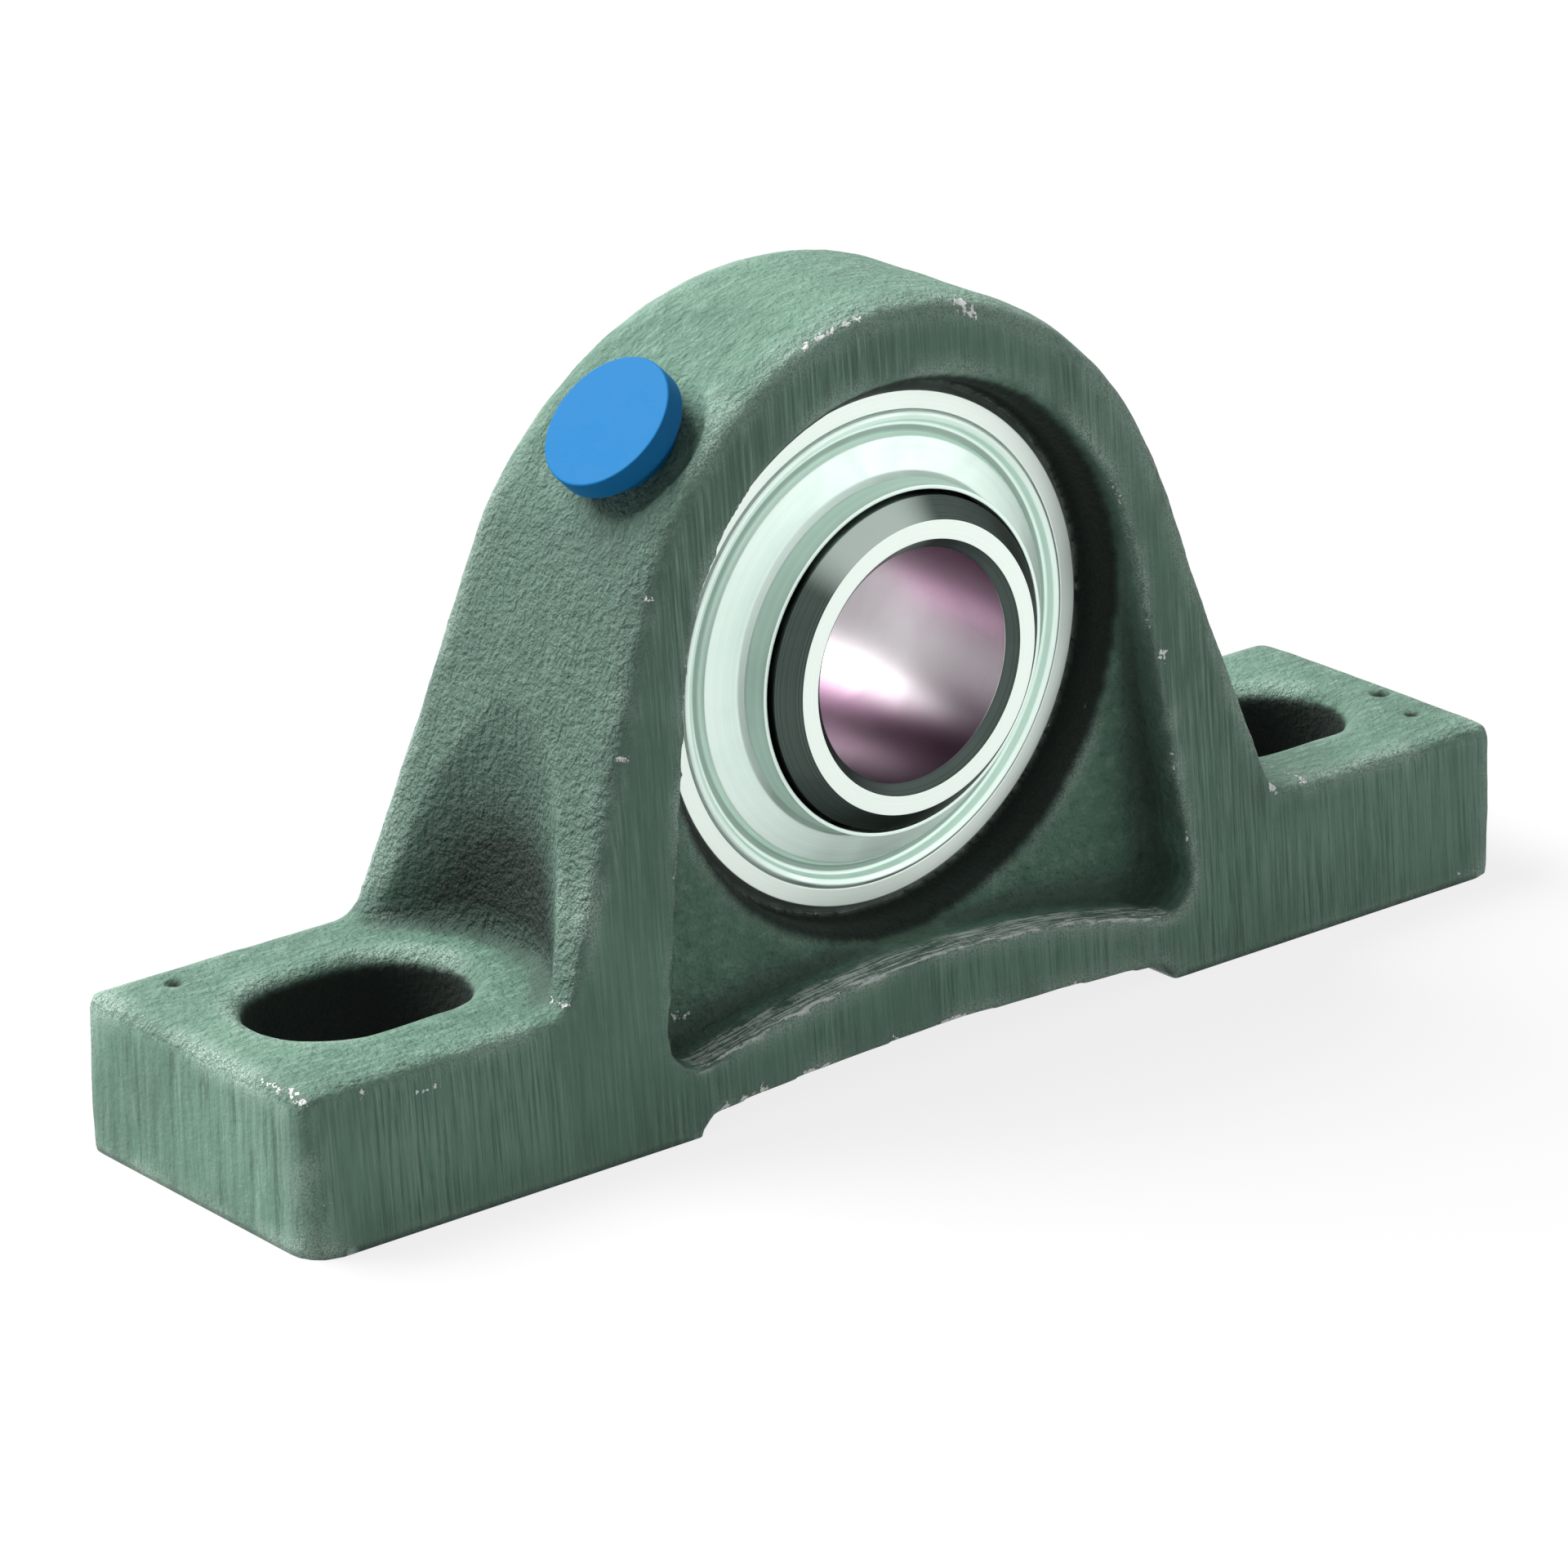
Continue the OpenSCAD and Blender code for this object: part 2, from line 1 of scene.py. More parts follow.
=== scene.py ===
# %% [markdown]
# # Pillow block bearing
# A pillow block is a cast iron arch on two slotted feet. In its round seat sits a ball bearing
# insert with a spherical outside, so the shaft may lean a little. The solid model comes in as a
# fixed frame, and this lesson builds its looks on it: a softer casting with a real paint skin,
# finely turned steel rings, bright pressed shields and a moulded cap.

# %% Load the solid model
import json
import math

import bmesh
import bpy
import numpy as np
from mathutils import Matrix, Vector, noise


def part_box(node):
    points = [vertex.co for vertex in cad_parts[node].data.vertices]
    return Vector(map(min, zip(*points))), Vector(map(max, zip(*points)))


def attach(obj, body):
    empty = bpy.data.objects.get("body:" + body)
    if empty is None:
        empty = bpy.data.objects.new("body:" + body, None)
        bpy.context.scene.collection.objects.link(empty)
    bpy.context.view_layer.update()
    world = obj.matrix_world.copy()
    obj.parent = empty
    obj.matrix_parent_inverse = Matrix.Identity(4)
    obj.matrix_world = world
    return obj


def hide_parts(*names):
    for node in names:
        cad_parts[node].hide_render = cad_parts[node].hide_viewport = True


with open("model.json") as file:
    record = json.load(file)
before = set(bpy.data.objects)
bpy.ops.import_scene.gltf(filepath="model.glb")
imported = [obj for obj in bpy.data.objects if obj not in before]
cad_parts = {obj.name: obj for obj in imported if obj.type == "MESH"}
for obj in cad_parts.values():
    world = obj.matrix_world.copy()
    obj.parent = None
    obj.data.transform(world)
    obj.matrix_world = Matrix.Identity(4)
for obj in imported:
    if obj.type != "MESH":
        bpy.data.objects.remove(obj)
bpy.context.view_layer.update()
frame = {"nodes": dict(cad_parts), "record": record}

MM = 0.001
print("nodes in the frame:", len(frame["nodes"]))

# %% [markdown]
# Every place in the scene follows from the frame: the shaft centre is where the shaft's joint
# is, the ring's size is that of its solid. Reading them here, and writing no coordinate twice,
# means that a changed solid model still gets fitting looks.

# %% Read the main places from the frame
joints = {joint["name"]: joint for joint in frame["record"]["behaviour"]["joints"]}
shaft_centre = Vector(joints["shaft_spin"]["pos_m"])
shaft_height = shaft_centre.z / MM
along_shaft = Matrix.Translation(shaft_centre) @ Matrix.Rotation(math.radians(-90), 4, "X")
ring_low, ring_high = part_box("outer_ring")
ring_radius = (ring_high[2] - ring_low[2]) / 2 / MM
half_width = (ring_high[1] - ring_low[1]) / 2 / MM
inner_low, inner_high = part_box("inner_ring")
short_end = -inner_low[1] / MM
long_end = inner_high[1] / MM
inner_radius = (inner_high[2] - inner_low[2]) / 2 / MM
shield_low, shield_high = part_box("front_shield")
shield_radius = (shield_high[2] - shield_low[2]) / 2 / MM
ball_low, ball_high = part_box("ball_1")
ball_radius = (ball_high[2] - ball_low[2]) / 2 / MM
pitch_radius = ((ball_high[2] + ball_low[2]) / 2 - shaft_centre.z) / MM
body_of_node = {
    node: body for body, nodes in frame["record"]["behaviour"]["bodies"].items() for node in nodes
}
print("shaft centre (mm):", [round(v / MM, 2) for v in shaft_centre])
print("ring radius", round(ring_radius, 2), "pitch radius", round(pitch_radius, 2))

# %% [markdown]
# ## Camera
# The photograph was taken from the left, a little above the block, with a long lens: upright
# edges stay nearly parallel. Direction, distance and lens were fitted once to the corners and
# circles of the block, and the camera is then built from these few numbers.

# %% Camera at the photograph's viewing angle
camera_azimuth = math.radians(-39.526)
camera_elevation = math.radians(20.572)
camera_roll = math.radians(-0.452)
camera_distance = 0.5824
camera_aim = Vector((-0.00407, 0.0, 0.020568))
camera_lens = 160.44

towards_camera = Vector((
    math.sin(camera_azimuth) * math.cos(camera_elevation),
    -math.cos(camera_azimuth) * math.cos(camera_elevation),
    math.sin(camera_elevation),
))
camera_right = Vector((math.cos(camera_azimuth), math.sin(camera_azimuth), 0))
camera_up = towards_camera.cross(camera_right)
camera_turn = Matrix((camera_right, camera_up, towards_camera)).transposed()
camera_turn = camera_turn @ Matrix.Rotation(camera_roll, 3, "Z")
camera = bpy.data.objects.new("camera", bpy.data.cameras.new("camera"))
camera.data.sensor_width = 36
camera.data.lens = camera_lens
camera.data.clip_start = 0.01
camera.matrix_world = (
    Matrix.Translation(camera_aim + towards_camera * camera_distance) @ camera_turn.to_4x4()
)
bpy.context.collection.objects.link(camera)
bpy.context.scene.camera = camera
print("camera", [round(v, 3) for v in camera.location], "lens", camera.data.lens)

# %% [markdown]
# ## Helpers for node trees
# A shader tree is a set of nodes and links. The small helpers below make one node, fill its
# sockets with values or links and give it back, so that a material reads like a recipe. A tree
# with its own inputs is a group, and the same helper makes it for shaders and for geometry.

# %% Node helpers
def fill(tree, socket, value):
    if isinstance(value, bpy.types.NodeSocket):
        tree.links.new(value, socket)
    else:
        socket.default_value = value


def add(tree, kind, values=None, **settings):
    made = tree.nodes.new(kind)
    for key, value in settings.items():
        setattr(made, key, value)
    for key, value in (values or {}).items():
        fill(tree, made.inputs[key], value)
    return made


def math_node(tree, operation, a, b=0.0):
    return add(tree, "ShaderNodeMath", {0: a, 1: b}, operation=operation).outputs[0]


def times(tree, a, b):
    return math_node(tree, "MULTIPLY", a, b)


def plus(tree, a, b):
    return math_node(tree, "ADD", a, b)


def minus(tree, a, b):
    return math_node(tree, "SUBTRACT", a, b)


def larger(tree, a, b):
    return math_node(tree, "MAXIMUM", a, b)


def ramp(tree, value, low, high, to_low=0.0, to_high=1.0):
    return add(
        tree, "ShaderNodeMapRange",
        {"Value": value, "From Min": low, "From Max": high, "To Min": to_low, "To Max": to_high},
        interpolation_type="SMOOTHSTEP",
    ).outputs[0]


def noise_value(tree, vector, scale, detail=2.0, roughness=0.5, distortion=0.0):
    return add(tree, "ShaderNodeTexNoise",
               {"Vector": vector, "Scale": scale, "Detail": detail, "Roughness": roughness,
                "Distortion": distortion}).outputs[0]


print("node helpers ready")


# %% Colour helpers
def blend_colour(tree, factor, a, b):
    mix = add(tree, "ShaderNodeMix", data_type="RGBA", clamp_factor=True)
    sockets = {socket.identifier: socket for socket in (*mix.inputs, *mix.outputs)}
    for name, value in (("Factor_Float", factor), ("A_Color", a), ("B_Color", b)):
        fill(tree, sockets[name], value)
    return sockets["Result_Color"]


def lay(tree, colour, tint, mask, strength):
    return blend_colour(tree, times(tree, mask, strength), colour, tint)


print("colour helpers ready")


# %% Group and material helpers
def new_tree(name, inputs, outputs, kind="ShaderNodeTree", output_kind="NodeSocketFloat"):
    # Inputs come with their defaults, and None stands for a vector.
    tree = bpy.data.node_groups.new(name, kind)
    kinds = {type(None): "NodeSocketVector", int: "NodeSocketInt", float: "NodeSocketFloat"}
    for label, value in inputs.items():
        socket = tree.interface.new_socket(label, in_out="INPUT", socket_type=kinds[type(value)])
        if value is not None:
            socket.default_value = value
    for label in outputs:
        tree.interface.new_socket(label, in_out="OUTPUT", socket_type=output_kind)
    return tree, add(tree, "NodeGroupInput").outputs, add(tree, "NodeGroupOutput").inputs


def use_group(tree, group, values):
    return add(tree, "ShaderNodeGroup", values, node_tree=group).outputs


def new_material(name):
    material = bpy.data.materials.new(name)
    material.use_nodes = True
    tree = material.node_tree
    coordinates = add(tree, "ShaderNodeTexCoord").outputs["Object"]
    in_mm = add(tree, "ShaderNodeVectorMath", {0: coordinates, "Scale": 1 / MM}, operation="SCALE")
    return material, tree, tree.nodes["Principled BSDF"], in_mm.outputs[0]


def set_surface(tree, shader, values, height):
    for key, value in values.items():
        fill(tree, shader.inputs[key], value)
    bump = add(tree, "ShaderNodeBump", {"Height": height, "Strength": 1.0, "Distance": MM})
    fill(tree, shader.inputs["Normal"], bump.outputs["Normal"])


print("group and material helpers ready")

# %% [markdown]
# ## Effects that several finishes share
# Cast grain, edge wear, turned lines and smudges turn up on more than one material, so each is
# a node group with named inputs. All of them read the object's own coordinates in millimetres:
# a number in a material is then a size that can be measured on the real thing.

# %% Group: cast grain
# Sand leaves rounded bumps, like the skin of an orange, with finer ones on them: smooth cells
# give the round tops and noise makes them uneven. Size is the width of a bump.
cast_grain, start, end = new_tree("cast_grain", {"Vector": None, "Size": 1.2, "Depth": 0.06},
                                  ("Height", "Spots"))
frequency = math_node(cast_grain, "DIVIDE", 1.0, start["Size"])
bumps = noise_value(cast_grain, start["Vector"], frequency, 3.0, 0.55)
fine = noise_value(cast_grain, start["Vector"], times(cast_grain, frequency, 4.5), 2.0, 0.6)
cells = add(cast_grain, "ShaderNodeTexVoronoi",
            {"Vector": start["Vector"], "Scale": times(cast_grain, frequency, 0.9),
             "Smoothness": 0.7}, feature="SMOOTH_F1")
round_tops = minus(cast_grain, ramp(cast_grain, bumps, 0.30, 0.70),
                   times(cast_grain, cells.outputs["Distance"], 0.6))
together = plus(cast_grain, round_tops, times(cast_grain, fine, 0.25))
fill(cast_grain, end["Height"], times(cast_grain, together, start["Depth"]))
fill(cast_grain, end["Spots"], fine)
print("group", cast_grain.name)

# %% Group: edge wear
# Edge and Knock are numbers stored on the mesh: high on outer edges, and where something hit.
# Coarse noise gathers the chips in clusters, fine noise gives each its ragged outline, and a slightly
# wider mask draws a dark rim round each chip, painted shade where the paint steps down.
edge_wear, start, end = new_tree(
    "edge_wear", {"Vector": None, "Edge": 0.0, "Amount": 0.8, "Knock": 0.0, "Chip Size": 1.5},
    ("Mask", "Rim"))
frequency = math_node(edge_wear, "DIVIDE", 1.0, start["Chip Size"])
chips = noise_value(edge_wear, start["Vector"], frequency, 5.0, 0.65)
clusters = noise_value(edge_wear, start["Vector"], times(edge_wear, frequency, 0.14))
clustered = ramp(edge_wear, clusters, 0.50, 0.64, 0.25, 1.0)
level = times(edge_wear, times(edge_wear, start["Edge"], clustered), start["Amount"])
level = plus(edge_wear, level, start["Knock"])
over = plus(edge_wear, chips, times(edge_wear, level, 0.4))
fill(edge_wear, end["Mask"], ramp(edge_wear, over, 0.815, 0.845))
fill(edge_wear, end["Rim"], ramp(edge_wear, over, 0.765, 0.82))
print("group", edge_wear.name)

# %% Group: turned lines
# A tool on a lathe leaves rings about the shaft. The distance from the shaft line, plus some of
# the way along it, drives a one-dimensional noise, so flats, cones and cylinders all get rings.
turned_lines, start, end = new_tree(
    "turned_lines", {"Vector": None, "Shaft Height": 33.3, "Lines per mm": 6.0, "Depth": 0.004},
    ("Height", "Shade", "Radius"))
parts = add(turned_lines, "ShaderNodeSeparateXYZ", {0: start["Vector"]}).outputs
up = minus(turned_lines, parts["Z"], start["Shaft Height"])
squares = plus(turned_lines, times(turned_lines, parts["X"], parts["X"]),
               times(turned_lines, up, up))
radius = math_node(turned_lines, "SQRT", squares)
place = plus(turned_lines, radius, times(turned_lines, parts["Y"], 0.83))
rings = add(turned_lines, "ShaderNodeTexNoise",
            {"W": times(turned_lines, place, start["Lines per mm"]), "Scale": 1.0,
             "Detail": 3.0, "Roughness": 0.7}, noise_dimensions="1D").outputs[0]
fill(turned_lines, end["Height"], times(turned_lines, rings, start["Depth"]))
fill(turned_lines, end["Shade"], rings)
fill(turned_lines, end["Radius"], radius)
print("group", turned_lines.name)

# %% Group: smudges
# Oil and handling make a polished face duller in cloudy patches and short faint wipes.
smudges, start, end = new_tree("smudges", {"Vector": None, "Size": 8.0}, ("Mask",))
frequency = math_node(smudges, "DIVIDE", 1.0, start["Size"])
clouds = noise_value(smudges, start["Vector"], frequency, 4.0, distortion=1.2)
wipes = add(smudges, "ShaderNodeMapping", {"Vector": start["Vector"], "Rotation": (0.4, 0.3, 0.9),
                                           "Scale": (0.25, 3.0, 1.4)}).outputs[0]
streaks = noise_value(smudges, wipes, times(smudges, frequency, 3.0), 3.0)
soft = ramp(smudges, clouds, 0.4, 0.7)
thin = ramp(smudges, streaks, 0.55, 0.75)
fill(smudges, end["Mask"], larger(smudges, soft, times(smudges, thin, 0.6)))
print("group", smudges.name)

# %% [markdown]
# ## Green paint on cast iron
# The casting was blasted, its front and back were ground flat with a coarse belt, and then all
# was painted in one coat. So the paint shows three skins: grainy on the flanks and feet, fine
# upright lines on the ground faces, and bare bright iron where edges were knocked. Which point
# has which skin is stored on the mesh as numbers (attributes), because only the mesh knows its
# own edges and faces; the material mixes the skins by them.

# %% Colours of the casting
paint_light = (0.176, 0.336, 0.246, 1)
paint_dark = (0.128, 0.246, 0.180, 1)
# A dark paint colour for grooves and specks, also used as painted shade on the upper ground faces and
# round chips.
paint_groove_and_shade = (0.053, 0.108, 0.077, 1)
paint_tip = (0.318, 0.490, 0.388, 1)
# Painted shade for the steep flanks.
flank_shade = (0.100, 0.160, 0.132, 1)
# Pale rubbed paint and a painted highlight on ridges.
rub_and_highlight_pale = (0.52, 0.68, 0.59, 1)
chip_pale = (0.88, 0.93, 0.90, 1)
bare_iron = (0.46, 0.47, 0.45, 1)
dark_iron = (0.30, 0.31, 0.30, 1)
# Near black: painted shade in the bolt recess, slots, seat mouth and pits, and darker small hollows.
shade_and_grime = (0.007, 0.011, 0.009, 1)
# Dust and painted shade in cavities; also the dark lines of the scuffed sill.
dust_and_shade = (0.055, 0.088, 0.070, 1)
print("light and dark coat:", paint_light[:3], paint_dark[:3])

# %% Numbers that the mesh brings, and noise drawn out in one direction
green_paint, tree, shader, vector = new_material("green_paint")
numbers = {
    name: add(tree, "ShaderNodeAttribute", attribute_name=name).outputs["Fac"]
    for name in ("edge", "ridge", "hollow", "cavity", "deep", "ground", "bare", "coarse", "scuff",
                 "knock", "soot")
}


def stretched_noise(tree, vector, scale, turn=0.0, detail=4.0, roughness=0.6):
    place = add(tree, "ShaderNodeMapping",
                {"Vector": vector, "Rotation": (0, turn, 0), "Scale": scale})
    return noise_value(tree, place.outputs[0], 1.0, detail, roughness)


print("numbers read by the paint:", ", ".join(numbers))

# %% Cast skin: cloudy coat, flow marks and dark specks between the grains
grain = use_group(tree, cast_grain, {"Vector": vector, "Size": 0.66, "Depth": 0.085})
sand = use_group(tree, cast_grain, {"Vector": vector, "Size": 0.36, "Depth": 0.050})
clouds = noise_value(tree, vector, 0.09, 4.0)
colour = blend_colour(tree, ramp(tree, clouds, 0.3, 0.7), paint_dark, paint_light)
colour = lay(tree, colour, paint_light, ramp(tree, sand["Spots"], 0.35, 0.65), 0.25)

skin = minus(tree, 1.0, times(tree, numbers["ground"], 0.92))
fibres = stretched_noise(tree, vector, (0.45, 1.5, 0.60), 0.0, 6.0, 0.74)
colour = lay(tree, colour, paint_tip, times(tree, ramp(tree, fibres, 0.50, 0.62), skin), 0.48)
colour = lay(tree, colour, paint_groove_and_shade, times(tree, ramp(tree, fibres, 0.47, 0.34), skin), 0.50)
speck_share = times(tree, skin, plus(tree, 0.45, times(tree, numbers["coarse"], 0.55)))
specks = times(tree, ramp(tree, sand["Spots"], 0.45, 0.34), speck_share)
colour = lay(tree, colour, paint_groove_and_shade, specks, 0.55)
# Painted shade: the steep flanks are darkened.
colour = lay(tree, colour, flank_shade, numbers["coarse"], 0.55)
print("cast skin laid,", len(tree.nodes), "nodes")

# %% Ground faces: fine upright lines from the belt, and painted shade, darker from the feet upwards
dark_from, dark_to = 10.0, 27.0
height_above_base = add(tree, "ShaderNodeSeparateXYZ", {0: vector}).outputs["Z"]
# Painted shade: the ground faces darken from dark_from to dark_to mm above the base.
upper_shade = ramp(tree, height_above_base, dark_from, dark_to)
colour = lay(tree, colour, paint_groove_and_shade, times(tree, upper_shade, numbers["ground"]), 0.30)
belt = stretched_noise(tree, vector, (4.2, 1.0, 0.055), 0.02, 4.0, 0.62)
broad = stretched_noise(tree, vector, (1.1, 1.0, 0.030), 0.02, 3.0, 0.6)
belt_patch = ramp(tree, stretched_noise(tree, vector, (0.09, 0.1, 0.03), 0.0, 2.0),
                  0.35, 0.62, 0.35, 1.0)
belt_share = times(tree, numbers["ground"], belt_patch)
tips = plus(tree, times(tree, ramp(tree, belt, 0.52, 0.60), 0.6),
            times(tree, ramp(tree, broad, 0.50, 0.66), 0.4))
grooves = ramp(tree, belt, 0.46, 0.40)
colour = lay(tree, colour, paint_tip, times(tree, tips, belt_share), 0.84)
colour = lay(tree, colour, paint_groove_and_shade, times(tree, grooves, belt_share), 0.62)
print("belt lines laid,", len(tree.nodes), "nodes")

# %% Rubbed ridges with a painted highlight, then dust and painted shade in everything that lies deep
# Ridges are lightened: rubbed paint and a painted highlight.
rubbed_and_highlight = times(tree, numbers["ridge"], ramp(tree, clouds, 0.42, 0.56, 0.15, 0.85))
rubbed_and_highlight = times(tree, rubbed_and_highlight, ramp(tree, grain["Spots"], 0.44, 0.54, 0.15, 1.0))
# Ridges lighter (rubbed paint and painted highlight), cavities darker (dust and painted shade), small
# hollows darker, recess, slots, seat mouth and pits near black (painted shade).
for mask, strength, tint in (
    (rubbed_and_highlight, 1.0, rub_and_highlight_pale), (numbers["cavity"], 0.66, dust_and_shade), (numbers["hollow"], 0.22, shade_and_grime),
    (numbers["deep"], 0.86, shade_and_grime), (numbers["soot"], 0.96, shade_and_grime),
):
    colour = lay(tree, colour, tint, mask, strength)

# %% Chips, the scuffed sill, and iron that was never painted
worn = use_group(tree, edge_wear, {"Vector": vector, "Edge": numbers["edge"], "Amount": 0.80,
                                   "Knock": numbers["knock"], "Chip Size": 0.45})
streaks = stretched_noise(tree, vector, (0.22, 4.5, 1.6), 0.04, 5.0, 0.74)
hatching = stretched_noise(tree, vector, (3.4, 0.7, 0.5), -0.7, 4.0, 0.65)
crossed = plus(tree, times(tree, streaks, 0.85), times(tree, hatching, 0.15))
scuffed = times(tree, ramp(tree, crossed, 0.494, 0.508), numbers["scuff"])
dark_hatch = times(tree, ramp(tree, streaks, 0.46, 0.41), numbers["scuff"])
colour = lay(tree, colour, dust_and_shade, dark_hatch, 0.45)
# Painted shade: a dark rim round each chip.
colour = lay(tree, colour, paint_groove_and_shade, worn["Rim"], 0.60)
bright = larger(tree, worn["Mask"], scuffed)
colour = blend_colour(tree, bright, colour, chip_pale)
milled = use_group(tree, turned_lines, {"Vector": vector, "Shaft Height": shaft_height,
                                        "Lines per mm": 5.0, "Depth": 0.01})
iron = blend_colour(tree, milled["Shade"], bare_iron, dark_iron)
colour = blend_colour(tree, numbers["bare"], colour, iron)
print("wear laid,", len(tree.nodes), "nodes")

# %% Gloss, metal and height of the paint
metal = larger(tree, times(tree, bright, 0.25), numbers["bare"])
dull = plus(tree, 0.42, times(tree, numbers["soot"], 0.35))
dull = plus(tree, dull, times(tree, sand["Spots"], 0.18))
cast_share = times(tree, skin, plus(tree, 1.45, times(tree, numbers["coarse"], 1.20)))
cast_height = times(tree, plus(tree, grain["Height"], sand["Height"]), cast_share)
fibre_height = times(tree, times(tree, fibres, 0.36), skin)
belt_height = times(tree, times(tree, belt, 0.14), belt_share)
chip_depth = times(tree, bright, 0.05)
height = plus(tree, plus(tree, cast_height, fibre_height), belt_height)
set_surface(tree, shader, {"Base Color": colour, "Metallic": metal, "Roughness": dull,
                           "Specular IOR Level": 0.3}, minus(tree, height, chip_depth))
print("material", green_paint.name, len(tree.nodes), "nodes")

# %% [markdown]
# ## Steel finishes
# The insert has six kinds of steel: ground faces, a bright pressed shield, dark turned surfaces that
# were never ground after hardening and whose near-black colour is also painted dark reflection,
# polished balls, a straw-coloured cage and black screws.
# They differ in colour, roughness and lines only, so one function makes them all. A band of radius can
# get a tint, and the dark steel gets a painted highlight where it faces up and a little left.

# %% Function for turned steel
def turned_steel(name, light, dark, roughness, lines_per_mm, depth, smudge=0.12, band=None,
                 painted_highlight=None):
    material, tree, shader, vector = new_material(name)
    rings = use_group(tree, turned_lines, {"Vector": vector, "Shaft Height": shaft_height,
                                           "Lines per mm": lines_per_mm, "Depth": depth})
    oil = use_group(tree, smudges, {"Vector": vector, "Size": 7.0})["Mask"]
    oil = times(tree, oil, smudge)
    colour = blend_colour(tree, ramp(tree, rings["Shade"], 0.3, 0.7), dark, light)
    colour = blend_colour(tree, oil, colour, dark)
    if band:
        low, high, softness, tint, strength = band
        inside = times(tree, ramp(tree, rings["Radius"], low - softness, low + softness),
                       ramp(tree, rings["Radius"], high + softness, high - softness))
        colour = lay(tree, colour, tint, inside, strength)
    # Painted highlight on the outside where it faces up and a little left.
    if painted_highlight:
        parts = add(tree, "ShaderNodeSeparateXYZ", {0: vector}).outputs
        up = minus(tree, parts["Z"], shaft_height)
        towards = plus(tree, times(tree, parts["X"], -0.35), times(tree, up, 0.94))
        towards = math_node(tree, "DIVIDE", towards, rings["Radius"])
        colour = blend_colour(tree, ramp(tree, towards, 0.86, 0.99), colour, painted_highlight)
    rough = plus(tree, plus(tree, oil, roughness), times(tree, rings["Shade"], 0.06))
    set_surface(tree, shader, {"Base Color": colour, "Metallic": 1.0, "Roughness": rough},
                rings["Height"])
    return material


# %% [markdown]
# The groove of the shield is darkened by oil and by painted shade. The tint is a band of radius, so it
# follows the pressed shape.

# %% The steels
# Oil and painted shade in the groove of the shield.
groove_oil_and_shade = (0.16, 0.26, 0.21, 1)
groove_band = (shield_radius - 1.85, shield_radius - 1.35, 0.08, groove_oil_and_shade, 0.75)
ground_steel = turned_steel("ground_steel", (0.88, 0.97, 0.91, 1), (0.82, 0.91, 0.85, 1),
                            0.42, 7.0, 0.0008, smudge=0.05)
shield_steel = turned_steel("shield_steel", (0.84, 0.98, 0.91, 1), (0.78, 0.92, 0.85, 1),
                            0.46, 2.0, 0.0003, smudge=0.10, band=groove_band)
dark_steel = turned_steel("dark_steel", (0.085, 0.112, 0.100, 1), (0.050, 0.068, 0.061, 1),
                          0.32, 6.0, 0.0015, painted_highlight=(0.42, 0.50, 0.46, 1))
ball_steel = turned_steel("ball_steel", (0.84, 0.85, 0.86, 1), (0.78, 0.79, 0.80, 1),
                          0.06, 1.0, 0.0, smudge=0.04)
cage_steel = turned_steel("cage_steel", (0.66, 0.61, 0.47, 1), (0.50, 0.46, 0.35, 1),
                          0.30, 3.0, 0.002)
black_steel = turned_steel("black_steel", (0.070, 0.070, 0.075, 1), (0.030, 0.030, 0.034, 1),
                           0.36, 4.0, 0.003)
print("steels:", ground_steel.name, shield_steel.name, dark_steel.name, black_steel.name)

# %% [markdown]
# The bore is finely ground. Its colour is darkened to violet along its top and its bottom, mixed in by
# the height above the shaft line: painted shade. Towards the back the colour is darkened too, painted
# shade, so light that falls in from behind makes no glaring spot.

# %% Bore steel
bore_light, bore_pale = (0.82, 0.78, 0.81, 1), (0.88, 0.85, 0.87, 1)
bore_smudge, bore_back_shade = (0.60, 0.50, 0.58, 1), (0.34, 0.31, 0.33, 1)
violet_shade = (0.125, 0.065, 0.104, 1)
bore_steel, tree, shader, vector = new_material("bore_steel")
rings = use_group(tree, turned_lines, {"Vector": vector, "Shaft Height": shaft_height,
                                       "Lines per mm": 9.0, "Depth": 0.0003})
oil = use_group(tree, smudges, {"Vector": vector, "Size": 9.0})["Mask"]
parts = add(tree, "ShaderNodeSeparateXYZ", {0: vector}).outputs
up = minus(tree, parts["Z"], shaft_height)
# Painted shade: darker violet along the top and the bottom of the bore.
top_bottom_shade = larger(tree, ramp(tree, up, 0.6, 7.8), ramp(tree, up, -4.2, -8.8))
colour = blend_colour(tree, rings["Shade"], bore_light, bore_pale)
colour = lay(tree, colour, bore_smudge, oil, 0.10)
# Painted shade: the back of the bore is darkened.
colour = blend_colour(tree, ramp(tree, parts["Y"], -2.0, 9.0, 0.0, 0.78), colour, bore_back_shade)
colour = lay(tree, colour, violet_shade, top_bottom_shade, 0.97)
rough = plus(tree, 0.35, times(tree, oil, 0.05))
set_surface(tree, shader, {"Base Color": colour, "Metallic": 1.0, "Roughness": rough},
            rings["Height"])
print("material", bore_steel.name, len(tree.nodes), "nodes")

# %% [markdown]
# ## Plastic and rubber
# The cap over the grease hole is one moulded blue plastic, smooth and slightly cloudy. The seal
# is matt black rubber. Both have a fine pimply skin, so one function makes them: two colours
# mixed by smudges, a roughness that rises with them, and cast grain of a very small size.

